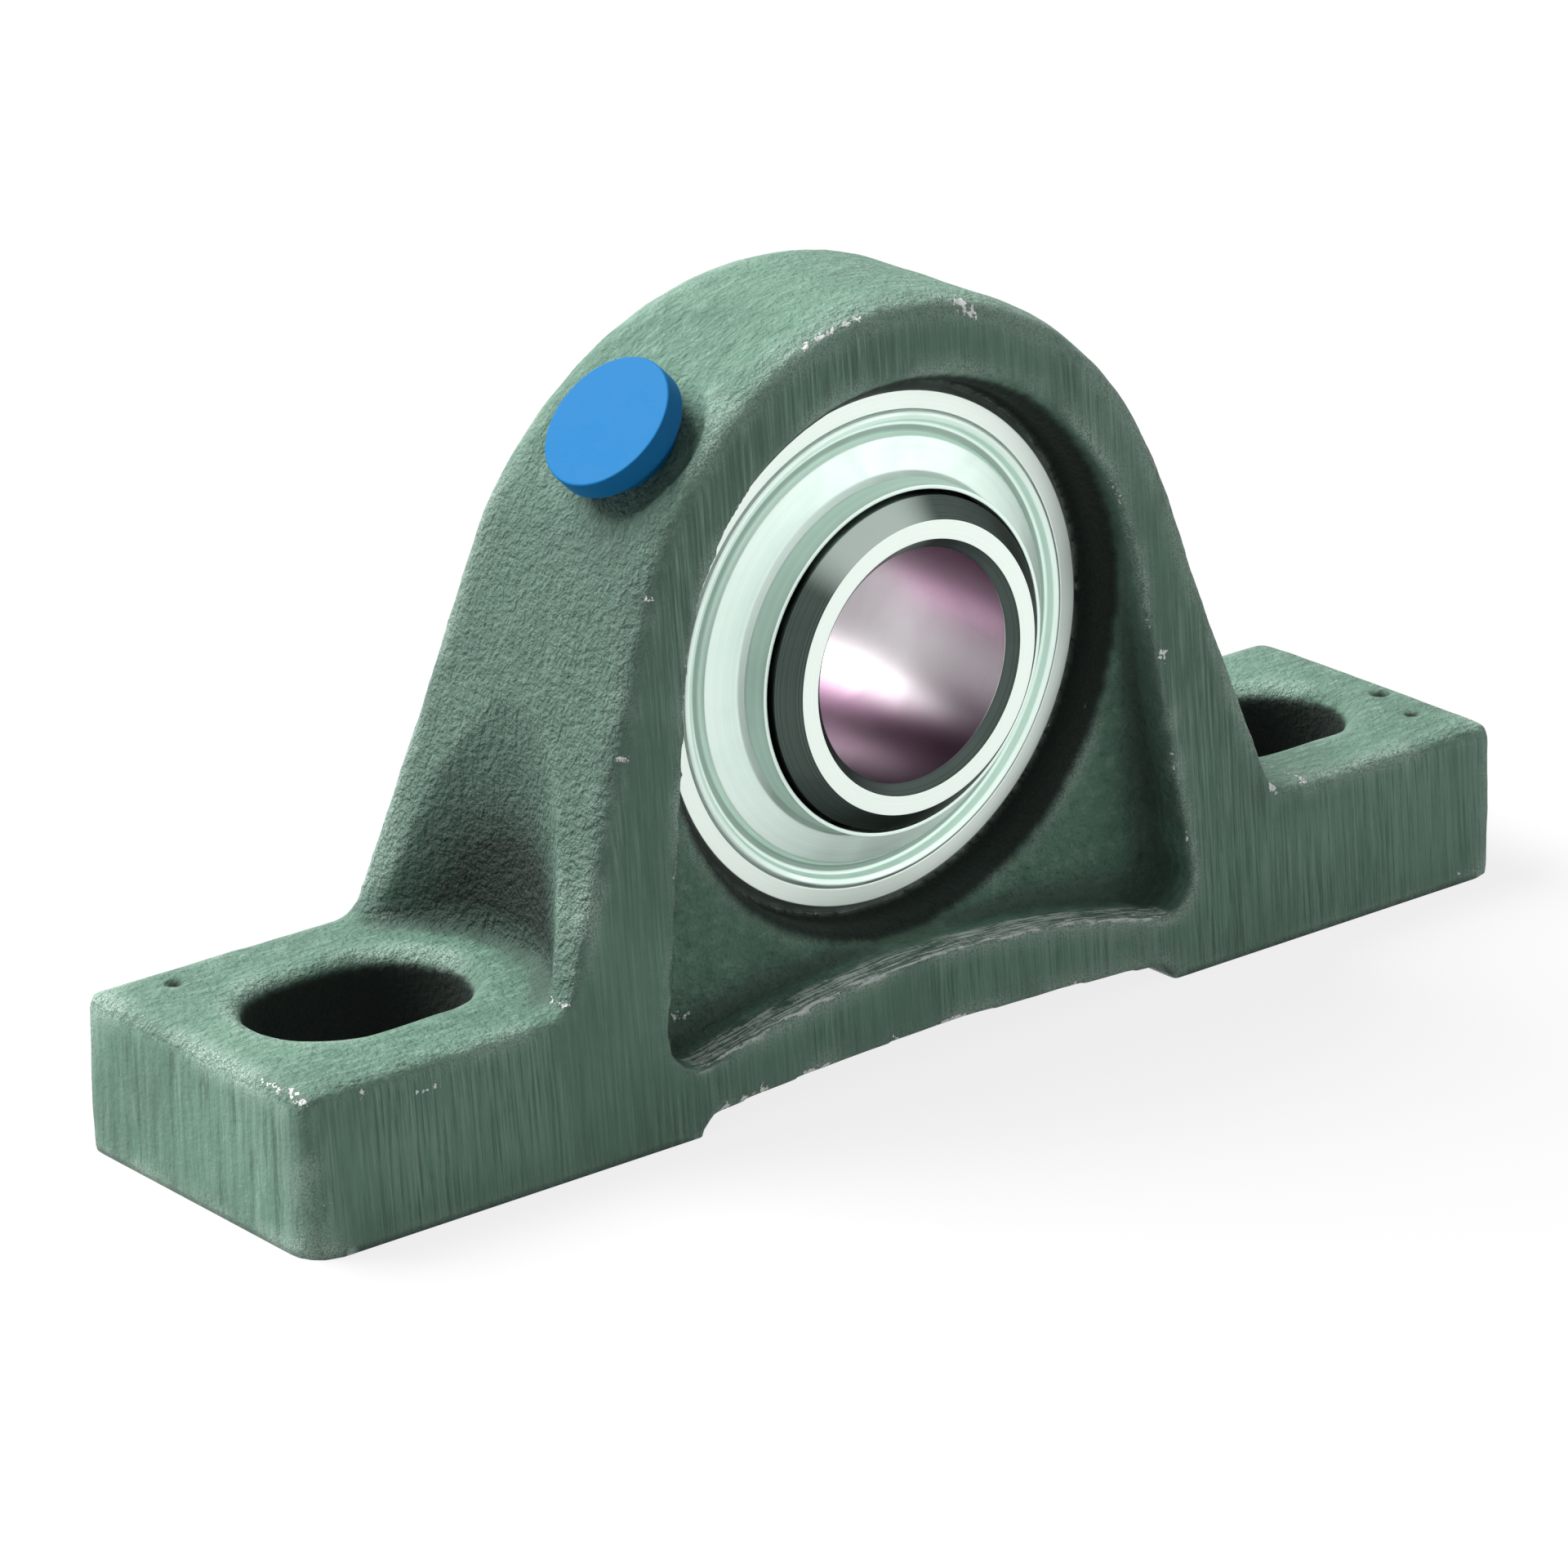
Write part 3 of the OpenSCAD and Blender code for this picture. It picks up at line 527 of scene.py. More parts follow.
# %% Materials: blue plastic and black rubber
def moulded(name, colour, cloudy, haze_size, haze_share, roughness, haze_roughness, pimple_size,
            pimple_depth):
    material, tree, shader, vector = new_material(name)
    haze = use_group(tree, smudges, {"Vector": vector, "Size": haze_size})["Mask"]
    pimples = use_group(tree, cast_grain, {"Vector": vector, "Size": pimple_size,
                                           "Depth": pimple_depth})
    rough = plus(tree, roughness, times(tree, haze, haze_roughness))
    set_surface(tree, shader, {"Base Color": lay(tree, colour, cloudy, haze, haze_share),
                               "Roughness": rough}, pimples["Height"])
    return material, shader


blue_plastic, shader = moulded("blue_plastic", (0.010, 0.180, 0.450, 1), (0.016, 0.202, 0.480, 1),
                               5.0, 0.35, 0.52, 0.08, 0.35, 0.004)
shader.inputs["Specular IOR Level"].default_value = 0.08
black_rubber, shader = moulded("black_rubber", (0.016, 0.016, 0.016, 1), (0.06, 0.06, 0.055, 1),
                               3.0, 0.3, 0.55, 0.2, 0.25, 0.01)
print("materials", blue_plastic.name, black_rubber.name)

# %% [markdown]
# ## The casting
# A solid model has knife edges; sand moulds have none. Rounding hundreds of crossing edges one
# by one would take a day, so the skin is made anew: a voxel remesh wraps the solid in an even
# net of squares under half a millimetre, and smoothing that net rounds all edges at once. Machined
# places are put back where they belong afterwards.

# %% Helpers: a piece from a net, a copy of a solid, and a modifier made final
def piece_from(net, name):
    mesh = bpy.data.meshes.new(name)
    net.to_mesh(mesh)
    net.free()
    piece = bpy.data.objects.new(name, mesh)
    bpy.context.collection.objects.link(piece)
    return piece


def joined_copy(node, name):
    mesh = frame["nodes"][node].data.copy()
    mesh.name = name
    net = bmesh.new()
    net.from_mesh(mesh)
    bmesh.ops.remove_doubles(net, verts=net.verts, dist=0.002 * MM)
    net.to_mesh(mesh)
    net.free()
    mesh.materials.clear()
    piece = bpy.data.objects.new(name, mesh)
    bpy.context.collection.objects.link(piece)
    return piece


def baked(piece):
    evaluated = piece.evaluated_get(bpy.context.evaluated_depsgraph_get())
    mesh = bpy.data.meshes.new_from_object(evaluated)
    mesh.name = piece.name
    piece.modifiers.clear()
    old = piece.data
    piece.data = mesh
    bpy.data.meshes.remove(old)
    return piece


print("piece helpers ready")

# %% Wrap the housing in an even net
net_step = 0.42
casting = joined_copy("housing", "casting")
wrap = casting.modifiers.new("wrap", "REMESH")
wrap.mode = "VOXEL"
wrap.voxel_size = net_step * MM
wrap.use_smooth_shade = True
baked(casting)
print("casting net:", len(casting.data.vertices), "points,", len(casting.data.polygons), "faces")

# %% Numbers of the net: points, edges, normals
casting_low, casting_high = (Vector(corner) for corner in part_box("housing"))
mesh = casting.data
count = len(mesh.vertices)
points = np.empty(count * 3)
mesh.vertices.foreach_get("co", points)
points = points.reshape(count, 3) / MM
ends = np.empty(len(mesh.edges) * 2, dtype=int)
mesh.edges.foreach_get("vertices", ends)
ends = ends.reshape(-1, 2)
neighbours = np.bincount(ends.ravel(), minlength=count)[:, None]


def around(values):
    total = np.empty_like(values)
    for axis in range(values.shape[1]):
        total[:, axis] = (
            np.bincount(ends[:, 0], weights=values[ends[:, 1], axis], minlength=count)
            + np.bincount(ends[:, 1], weights=values[ends[:, 0], axis], minlength=count)
        )
    return total / neighbours


def relax(values, rounds, share=1.0):
    for step in range(rounds):
        values += 0.5 * share * (around(values) - values)


def point_normals():
    flat = np.empty(count * 3)
    mesh.vertices.foreach_set("co", (points * MM).ravel())
    mesh.update()
    mesh.vertices.foreach_get("normal", flat)
    return flat.reshape(count, 3)


print("mean neighbours", round(float(neighbours.mean()), 2))

# %% Which part of the casting is which
x, y, z = points.T
half_depth = casting_high.y / MM
face_lean = 0.098
foot_top = 13.7
seat_radius, seat_half_width = ring_radius + 0.03, 6.2
mouth_radius = 24.5
pocket_floor, pocket_sill, pocket_half_width = 8.5, 6, 30
recess_start, recess_end = 34, 62.5
from_shaft = np.hypot(x, z - shaft_height)
from_seat_centre = np.sqrt(x ** 2 + y ** 2 + (z - shaft_height) ** 2)
face_depth = half_depth - z * face_lean - np.abs(y)
in_seat = (np.abs(from_seat_centre - seat_radius) < 0.5) & (np.abs(y) < seat_half_width)
in_pocket = (face_depth > 0.9) & (np.abs(y) > pocket_floor) & (from_shaft > 23.2)
in_pocket &= (np.abs(x) < pocket_half_width) & (z > pocket_sill) & (z < shaft_height + 4)
in_recess = (np.abs(x) > recess_start) & (np.abs(x) < recess_end)
in_recess &= (z > foot_top - 0.7) & (face_depth > 1.2)
underside = z < 0.3
print("seat", int(in_seat.sum()), "pocket", int(in_pocket.sum()), "recess", int(in_recess.sum()))

# %% Smooth: lightly everywhere, more on the feet, strongly where the mould was filleted
foot_start = 39
sharp_points = points.copy()
normals_before = point_normals()
bend = -((around(points) - points) * normals_before).sum(1)
relax(points, 2)
inward = np.clip(-bend, 0, None)[:, None]
for step in range(6):
    inward = np.maximum(inward * 0.9, around(inward))
soft_share = np.where(in_pocket | in_recess, 1.0, 0.0)[:, None] * np.clip(inward / 0.006, 0, 1)
for step in range(3):
    soft_share = around(soft_share)
relax(points, 18, soft_share)
foot_share = np.clip((np.abs(x) - foot_start) / 3, 0, 1)[:, None] * (z > 1.2)[:, None]
relax(points, 7, foot_share)
print("largest move (mm):", round(float(np.abs(points - sharp_points).max()), 3))


# %% Waves of the mould
def mould_wave(place):
    broad = noise.noise(place * 0.16) * 0.10
    fine = noise.noise(place * 0.42 + Vector((7, 3, 5))) * 0.05
    return broad + fine


rough_share = 1.0 - np.clip(underside | in_seat | (from_shaft < mouth_radius), 0, 1)
face_flat = (face_depth < 0.4) & (z > 0.5)
rough_share = rough_share * np.where(face_flat, 0.25, 1.0)
normals = point_normals()
waves = np.array([mould_wave(Vector(point)) for point in points])
points += normals * (waves * rough_share)[:, None]
print("waves from", round(float(waves.min()), 3), "to", round(float(waves.max()), 3), "mm")

# %% Three small pits in the feet, then machined places back in place
# Each pit is given by x, y and radius.
pit_depth = 0.5
pits = [(-58.4, 11.3, 0.9), (62.4, -2.9, 1.1), (60.8, -8.5, 0.8)]
for pit_x, pit_y, pit_radius in pits:
    away = np.hypot(points[:, 0] - pit_x, points[:, 1] - pit_y) / pit_radius
    dent = np.where((away < 1) & (z > foot_top - 1), (1 - away ** 2) ** 2 * pit_depth, 0)
    points[:, 2] -= dent
centre = np.array([0.0, 0.0, shaft_height])
from_centre = points - centre
lengths = np.linalg.norm(from_centre, axis=1, keepdims=True)
points = np.where(in_seat[:, None], centre + from_centre / lengths * seat_radius, points)
points[underside, 2] = 0.0
points = np.clip(points, np.array(casting_low) / MM, np.array(casting_high) / MM)
normals = point_normals()
print("casting box (mm):", points.min(0).round(2), points.max(0).round(2))

# %% [markdown]
# The numbers for the paint are worked out on the same net. An outer edge is where the mean of a
# point's neighbours lies below the surface, and a hollow is where it lies above. A few rounds of
# averaging spread the narrow lines into soft bands that the wear noise can eat into.

# %% Helpers for numbers on the points
def spread(values, rounds):
    values = values.reshape(-1, 1).astype(float)
    for step in range(rounds):
        values = 0.5 * values + 0.5 * around(values)
    return values[:, 0]


def store(name, values):
    layer = mesh.attributes.new(name, "FLOAT", "POINT")
    layer.data.foreach_set("value", np.clip(values, 0, 1).astype(np.float32))


print("mean bend (mm):", round(float(np.abs(bend).mean()), 4))

# %% Edges and hollows, and which faces are ground or bare
numbers_of_points = {
    "edge": np.clip(spread(np.clip(bend, 0, None), 1) / 0.06, 0, 1),
    "hollow": np.clip(spread(np.clip(-bend, 0, None), 5) / 0.04, 0, 1),
    "bare": spread(in_seat | (underside & (normals[:, 2] < -0.8)), 1),
}
flat_end = (np.abs(normals[:, 0]) > 0.93) & (np.abs(x) > casting_high.x / MM - 1.5)
flat_face = (np.abs(normals[:, 1]) > 0.93) & (face_depth < 0.7)
numbers_of_points["ground"] = spread(flat_face, 2) + 0.85 * spread(flat_end, 2)
print("ground faces:", int(flat_face.sum()), "points, ground ends:", int(flat_end.sum()))

# %% The scuffed sill of the pockets
sill = (normals[:, 2] > 0.45) & (z > 5) & (z < 11.5) & (np.abs(x) < 26) & (face_depth < 2.6)
sill &= np.abs(y) > 9.5
numbers_of_points["scuff"] = spread(sill, 1)
print("sill:", int(sill.sum()), "points")

# %% Painted shade in the slots, in the mouth of the seat and in the pits
slots_mount = next(m for m in frame["record"]["mounts"] if m["name"] == "foot_slots")["dims"]
slot_round = slots_mount["hole_r_mm"]
straight_half = slots_mount["slot_length_mm"] / 2 - slot_round
beyond = np.clip(np.abs(np.abs(x) - slots_mount["spacing_x_mm"] / 2) - straight_half, 0, None)
in_slot = (np.hypot(beyond, y) < slot_round + 0.7) & (z < foot_top - 1.0) & (z > 0.2)
in_mouth = (from_shaft > ring_radius * 0.93) & (from_shaft < ring_radius + 0.75)
in_mouth &= (face_depth > 0.6) & ~in_seat & (np.abs(y) > 4)
# Painted shade: the slots, the mouth of the seat and the pits are darkened nearly to black.
soot = spread(in_slot | in_mouth, 2)
for pit_x, pit_y, pit_radius in pits:
    away = np.hypot(x - pit_x, y - pit_y) / pit_radius
    soot = np.maximum(soot, np.where(z > foot_top - 1, np.clip(1.7 - 1.6 * away, 0, 1), 0))
numbers_of_points["soot"] = soot
print("slots:", int(in_slot.sum()), "points, mouth:", int(in_mouth.sum()))

# %% [markdown]
# Dust settles and hands rub on a wider scale than one edge, and painted shade in cavities and a
# painted highlight on ridges go with them. A copy of the skin, smoothed so long that it cuts across
# every form, tells both: a point that lies under the copy is in a cavity, and a point that stands out
# of it is on a ridge. The bolt recess is deeper than the copy can tell, so its depth is measured
# behind the line of the rib at the same height, and the paint there darkens with it as painted shade.

# %% Cavities, ridges and the depth of the bolt recess
smoothed = points.copy()
relax(smoothed, 60)
sunk = ((smoothed - points) * normals).sum(1)
# Cavities are darkened: dust and painted shade.
numbers_of_points["cavity"] = np.clip(sunk / 0.30, 0, 1)
numbers_of_points["ridge"] = np.clip(-sunk / 0.40 - 0.20, 0, 1)
# Painted shade: the bolt recess darkens with its depth behind the rib, where the rib shades it.
rib_heights = np.arange(foot_top + 1, shaft_height + 12, 1.0)
near_face = (face_depth > 0.8) & (face_depth < 2.4)
rib_places = [np.abs(x)[near_face & (np.abs(z - level) < 0.6)].max() for level in rib_heights]
deep = np.interp(z, rib_heights, rib_places) - np.abs(x) - 0.7
deep = np.clip(deep / 2.6, 0, 1) * np.clip((shaft_height + 2 - z) / 14, 0, 1)
deep *= (face_depth > 2) & (np.abs(x) > 26) & ~in_pocket & (from_shaft > ring_radius)
deep *= np.clip((z - foot_top - 0.6) / 2, 0, 1)
numbers_of_points["deep"] = deep
print("deepest point lies under the smoothed copy by", round(float(sunk.max()), 2), "mm")

# %% Coarse skin on the flanks, and painted shade on the steep ones
steep = np.clip((np.abs(normals[:, 0]) - 0.25) / 0.45, 0, 1)
flank = (z > foot_top - 0.5) * np.clip((shaft_height + 24 - z) / 10, 0, 1)
numbers_of_points["coarse"] = spread(steep * flank, 4)
print("steep points:", int((steep > 0.5).sum()))

# %% Knocks on the front: x, z, radius and strength of each, as seen on this copy
knock_reach = 1.3
knocks = (
    (-10.4, 61.7, 0.5, 1.0), (-9.2, 62.1, 0.6, 1.0), (-7.8, 62.5, 0.5, 0.9), (-6.5, 62.7, 0.5, 0.9),
    (-5.0, 62.9, 0.5, 0.9), (-3.6, 63.1, 0.5, 0.9), (7.2, 62.0, 0.8, 1.0), (8.0, 61.5, 0.6, 0.9),
    (-26.9, 45.0, 0.4, 0.8), (-30.9, 32.9, 0.5, 0.9), (-26.4, 31.0, 0.4, 0.9), (26.6, 28.5, 0.6, 1.0),
    (-23.4, 1.9, 0.6, 0.9), (-21.5, 2.1, 0.6, 0.9), (-19.6, 2.2, 0.7, 0.9), (-14.4, 2.4, 0.7, 0.8),
    (-12.6, 2.5, 0.5, 0.9), (-5.0, 3.1, 0.7, 0.8), (0.6, 3.2, 0.5, 0.8), (2.1, 2.9, 0.6, 0.8),
    (-64.2, 13.2, 0.5, 0.8), (-59.6, 11.9, 0.5, 0.9), (-58.9, 12.6, 0.4, 0.8), (-53.8, 11.1, 0.5, 0.9),
    (-51.8, 11.3, 0.5, 0.9), (-62.9, 4.5, 0.3, 0.9), (-38.8, 14.6, 0.6, 0.8), (42.2, 13.4, 0.5, 0.8),
    (38.3, 14.0, 0.7, 0.8), (60.2, 0.9, 0.6, 0.9), (-24.0, 8.1, 0.6, 1.0), (-22.8, 8.0, 0.5, 0.9),
)
knock = np.zeros(count)
for knock_x, knock_z, knock_radius, strength in knocks:
    reach = np.hypot(x - knock_x, z - knock_z) / (knock_radius * knock_reach)
    knock = np.maximum(knock, np.where(y < -9, np.exp(-reach ** 2) * strength, 0))
numbers_of_points["knock"] = knock
for name, values in numbers_of_points.items():
    store(name, values)
    print(name, "covers", round(float((values > 0.5).mean()) * 100, 1), "% of the points")

# %% Fewer triangles where the skin is flat
def triangle_count():
    return sum(len(face.vertices) - 2 for face in mesh.polygons)


most_triangles = 196000
triangles = triangle_count()
if triangles > most_triangles:
    thin = casting.modifiers.new("thin", "DECIMATE")
    thin.ratio = most_triangles / triangles
    baked(casting)
    mesh = casting.data
print("casting triangles:", triangles, "then", triangle_count())
mesh.materials.append(green_paint)
mesh.shade_smooth()

# %% [markdown]
# ## Turned pieces
# Rings, shields, washers and seals are turned or pressed: one outline spun round the shaft. The
# outline's corners are rounded first, because a true corner never catches a highlight. Beside
# each rounding goes one more point, so the flat next to it keeps a flat shading.

# %% Helpers: rounded outline and lathe
def rounded(outline, softness, steps=4, guard=0.08):
    result = []
    last = len(outline) - 1
    for i, point in enumerate(outline):
        here = Vector(point[:2])
        soft = point[2] if len(point) > 2 else softness
        before = Vector(outline[i - 1][:2]) - here
        after = Vector(outline[0 if i == last else i + 1][:2]) - here
        if soft == 0:
            result.append(here)
            continue
        half = before.angle(after) / 2
        cut = min(soft / math.tan(half), 0.42 * before.length, 0.42 * after.length)
        first, second = before.normalized(), after.normalized()
        if before.length > 2.4 * (cut + guard):
            result.append(here + first * (cut + guard))
        for k in range(steps + 1):
            t = k / steps
            result.append(here + first * cut * (1 - t) ** 2 + second * cut * t * t)
        if after.length > 2.4 * (cut + guard):
            result.append(here + second * (cut + guard))
    return result


def lathe(name, outline, place, segments=256, material=None):
    net = bmesh.new()
    rows = []
    for radius, along in outline:
        row = []
        for i in range(segments):
            angle = 2 * math.pi * i / segments
            local = Vector((radius * math.cos(angle), radius * math.sin(angle), along)) * MM
            row.append(net.verts.new(place @ local))
        rows.append(row)
    for j in range(len(rows)):
        low, high = rows[j - 1], rows[j]
        for i in range(segments):
            net.faces.new((low[i - 1], low[i], high[i], high[i - 1]))
    bmesh.ops.remove_doubles(net, verts=net.verts, dist=0.0005 * MM)
    bmesh.ops.dissolve_degenerate(net, edges=net.edges, dist=0.0002 * MM)
    bmesh.ops.recalc_face_normals(net, faces=net.faces)
    piece = piece_from(net, name)
    piece.data.shade_smooth()
    if material:
        piece.data.materials.append(material)
    print(name, len(piece.data.polygons), "faces")
    return piece


def carve(piece, cutters):
    for cutter in cutters:
        cut = piece.modifiers.new("carve", "BOOLEAN")
        cut.operation = "DIFFERENCE"
        cut.solver = "EXACT"
        cut.object = cutter
        baked(piece)
        bpy.data.objects.remove(cutter)
    piece.data.shade_smooth()
    piece.data.set_sharp_from_angle(angle=math.radians(38))


# %% [markdown]
# ## Outer ring
# Its outside is a sphere of 47 mm that swivels in the seat. The face that shows is a flat ground
# band, and behind the shield lies the ball groove. A short slot on top takes the locating pin.

# %% Outer ring
washer_step = 1.6
seal_bore = shield_radius + 0.03
outer_land = pitch_radius + 2.55
groove_radius = 2 * ball_radius * 0.5165
outer_groove = pitch_radius + ball_radius + 0.02 - groove_radius
washer_foot = half_width - washer_step
rim_radius = math.sqrt(ring_radius ** 2 - half_width ** 2) - 0.45


def arc(centre_radius, radius, start_degrees, end_degrees, steps):
    return [
        (centre_radius + radius * math.cos(math.radians(a)), radius * math.sin(math.radians(a)), 0)
        for a in np.linspace(start_degrees, end_degrees, steps)
    ]


sphere_end = math.degrees(math.asin((half_width - 0.7) / ring_radius))
groove_end = math.degrees(math.acos((outer_land - outer_groove) / groove_radius))
ring_outline = (
    arc(0, ring_radius, -sphere_end, sphere_end, 40)
    + [(rim_radius, half_width), (seal_bore, half_width), (seal_bore, washer_foot),
       (outer_land, washer_foot)]
    + arc(outer_groove, groove_radius, groove_end, -groove_end, 20)
    + [(outer_land, -washer_foot), (seal_bore, -washer_foot), (seal_bore, -half_width),
       (rim_radius, -half_width)]
)
outer_ring = lathe("outer_ring_turned", rounded(ring_outline, 0.10), along_shaft,
                   material=ground_steel)

# %% Slot for the pin and the two grease holes
def bar(name, size, centre):
    net = bmesh.new()
    bmesh.ops.create_cube(net, size=1.0)
    bmesh.ops.scale(net, vec=Vector(size) * MM, verts=net.verts)
    bmesh.ops.translate(net, vec=Vector(centre) * MM, verts=net.verts)
    return piece_from(net, name)


def rod(name, radius, length, place, segments):
    outline = [(0, 0), (radius, 0), (radius, length), (0, length)]
    return lathe(name, outline, place, segments)


pin_low, pin_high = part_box("locating_pin")
pin_slot_width = (pin_high[0] - pin_low[0]) / MM + 0.06
pin_slot_length, cutter_height = 6.4, 5.0
slot_floor = pin_low[2] / MM - 0.3
slot_cutter = bar("slot_cutter", (pin_slot_width, pin_slot_length, cutter_height),
                  (0, 0, slot_floor + cutter_height / 2))
grease_hole_radius, grease_hole_y = 0.6, -4.4
hole_cutters = [
    rod("hole_cutter", grease_hole_radius, 8.0,
        Matrix.Translation(shaft_centre + Vector((0, grease_hole_y * MM, 0)))
        @ Matrix.Rotation(math.radians(90 * side), 4, "Y")
        @ Matrix.Translation((0, 0, (outer_land - 1) * MM)), 32)
    for side in (-1, 1)
]
carve(outer_ring, [slot_cutter] + hole_cutters)
print("outer ring carved:", len(outer_ring.data.polygons), "faces")

# %% [markdown]
# ## Inner ring
# The inner ring is longer than the outer one and takes the shaft. Only its end faces, bore and ball
# groove are ground; the chamfers and the outside stay dark from hardening, and their near-black colour
# is also painted dark reflection. Three materials on one mesh say so: each face picks its own by where
# it lies.

# %% Inner ring
bore_mount = next(m for m in frame["record"]["mounts"] if m["name"] == "shaft_bore")["dims"]
bore_radius = bore_mount["r_mm"]
end_face = 12.5
chamfer = 0.9
inner_groove = pitch_radius - ball_radius - 0.02 + groove_radius
inner_groove_end = math.degrees(math.acos((inner_groove - inner_radius) / groove_radius))
inner_outline = (
    [(bore_radius, -short_end + chamfer), (bore_radius + chamfer, -short_end),
     (end_face, -short_end), (inner_radius, -short_end + 1.6)]
    + arc(inner_groove, groove_radius, 180 + inner_groove_end, 180 - inner_groove_end, 18)
    + [(inner_radius, long_end - 1), (inner_radius - 0.7, long_end),
       (bore_radius + chamfer, long_end), (bore_radius, long_end - chamfer)]
)
inner_ring = lathe("inner_ring_turned", rounded(inner_outline, 0.09), along_shaft,
                   material=ground_steel)
screw_joints = [joints["set_screw_1_feed"], joints["set_screw_2_feed"]]
screw_low, screw_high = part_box("set_screw_1")
screw_y = (screw_low[1] + screw_high[1]) / 2
screw_radius = (screw_high[1] - screw_low[1]) / 2 / MM


def screw_place(joint):
    direction = Vector(joint["axis"])
    turn = Vector((0, 0, 1)).rotation_difference(direction).to_matrix().to_4x4()
    return Matrix.Translation((0, screw_y, shaft_centre.z)) @ turn


carve(inner_ring, [rod("thread_cutter", screw_radius + 0.05, 20, screw_place(joint), 64)
                   for joint in screw_joints])

# %% Give each face of the inner ring its finish
inner_ring.data.materials.append(dark_steel)
inner_ring.data.materials.append(bore_steel)
is_ground, is_dark, is_bore = range(3)
for face in inner_ring.data.polygons:
    middle = (face.center - shaft_centre) / MM
    radius = math.hypot(middle.x, middle.z)
    is_end = abs(face.normal.y) > 0.9 and radius > bore_radius + chamfer - 0.1
    if radius < bore_radius + 0.03 and abs(face.normal.y) <= 0.9:
        face.material_index = is_bore
    elif is_end or abs(middle.y) < half_width - 1.5:
        face.material_index = is_ground
    else:
        face.material_index = is_dark
print("inner ring carved:", len(inner_ring.data.polygons), "faces")

# %% [markdown]
# ## Shields, seals and washers
# Each side is closed by a stack: a steel washer on the step of the outer ring, a rubber seal,
# and a bright pressed shield. The shield's outline reads, from outside in: a rolled bead, a
# groove, a broad shallow dish and an upright collar round the inner ring.

# %% Outlines of the stack
sheet = 0.35
shield_foot = washer_foot + 2 * sheet
bead_top = shield_foot + 1.25
dish = shield_foot + 1.76
collar_top = shield_foot + 4.6
rim_inside = inner_radius + 0.35
shield_outline = [
    (shield_radius, shield_foot, 0.05), (shield_radius, bead_top - 0.20, 0.30),
    (seal_bore - 0.42, bead_top, 0.30), (seal_bore - 0.85, bead_top - 0.20, 0.25),
    (seal_bore - 1.10, shield_foot + 0.45, 0.20), (seal_bore - 1.85, shield_foot + 0.42, 0.20),
    (seal_bore - 2.20, shield_foot + 1.02, 0.30), (rim_inside + 0.95, dish, 0.50),
    (rim_inside + 0.50, dish + 0.60, 0.35), (rim_inside + 0.40, collar_top, 0.12),
    (rim_inside, collar_top, 0.12), (rim_inside + 0.24, dish + 0.20, 0.30),
    (rim_inside + 0.88, dish - 0.36, 0.40), (seal_bore - 2.60, shield_foot + 0.80, 0.30),
    (seal_bore - 2.35, shield_foot, 0.10),
]
seal_foot = washer_foot + sheet
seal_outline = [
    (shield_radius, seal_foot), (shield_radius, seal_foot + sheet),
    (inner_radius + 1.6, seal_foot + sheet), (inner_radius + 0.48, seal_foot + 1.45),
    (inner_radius + 0.03, seal_foot + 1.45), (inner_radius + 0.03, seal_foot + 0.65),
    (inner_radius + 1.04, seal_foot),
]
washer_outline = [
    (inner_radius + 1.1, washer_foot), (shield_radius, washer_foot),
    (shield_radius, washer_foot + sheet), (inner_radius + 1.1, washer_foot + sheet),
]


def facing(outline, side):
    return [(point[0], side * point[1]) + tuple(point[2:]) for point in outline]


shields, seals, washers = {}, {}, {}
for word, side in (("front", -1), ("back", 1)):
    shields[word] = lathe(word + "_shield_pressed", rounded(facing(shield_outline, side), 0.1, 6),
                          along_shaft, material=shield_steel)
    seals[word] = lathe(word + "_seal_moulded", rounded(facing(seal_outline, side), 0.08, 3),
                        along_shaft, 192, black_rubber)
    washers[word] = lathe(word + "_washer_pressed", rounded(facing(washer_outline, side), 0.05, 2),
                          along_shaft, 192, shield_steel)

# %% [markdown]
# ## Balls
# Eight balls share one circle. A Geometry Nodes tree places a ball by its number: the angle is
# the number times a full turn over the count. Each ball spins by itself, so the tree runs once
# for each of them and every result becomes its own piece.

# %% Helpers for Geometry Nodes trees
def geometry_tree(name, inputs):
    return new_tree(name, inputs, ("Geometry",), "GeometryNodeTree", "NodeSocketGeometry")


def close_tree(tree, geometry, end, material):
    real = add(tree, "GeometryNodeRealizeInstances", {"Geometry": geometry})
    painted = add(tree, "GeometryNodeSetMaterial",
                  {"Geometry": real.outputs[0], "Material": material})
    fill(tree, end["Geometry"], painted.outputs[0])


def grow(name, tree, values):
    piece = bpy.data.objects.new(name, bpy.data.meshes.new(name))
    bpy.context.collection.objects.link(piece)
    modifier = piece.modifiers.new(tree.name, "NODES")
    modifier.node_group = tree
    names = {
        item.name: item.identifier for item in tree.interface.items_tree
        if item.item_type == "SOCKET" and item.in_out == "INPUT"
    }
    for label, value in values.items():
        modifier[names[label]] = value
    baked(piece)
    print(name, len(piece.data.polygons), "faces")
    return piece


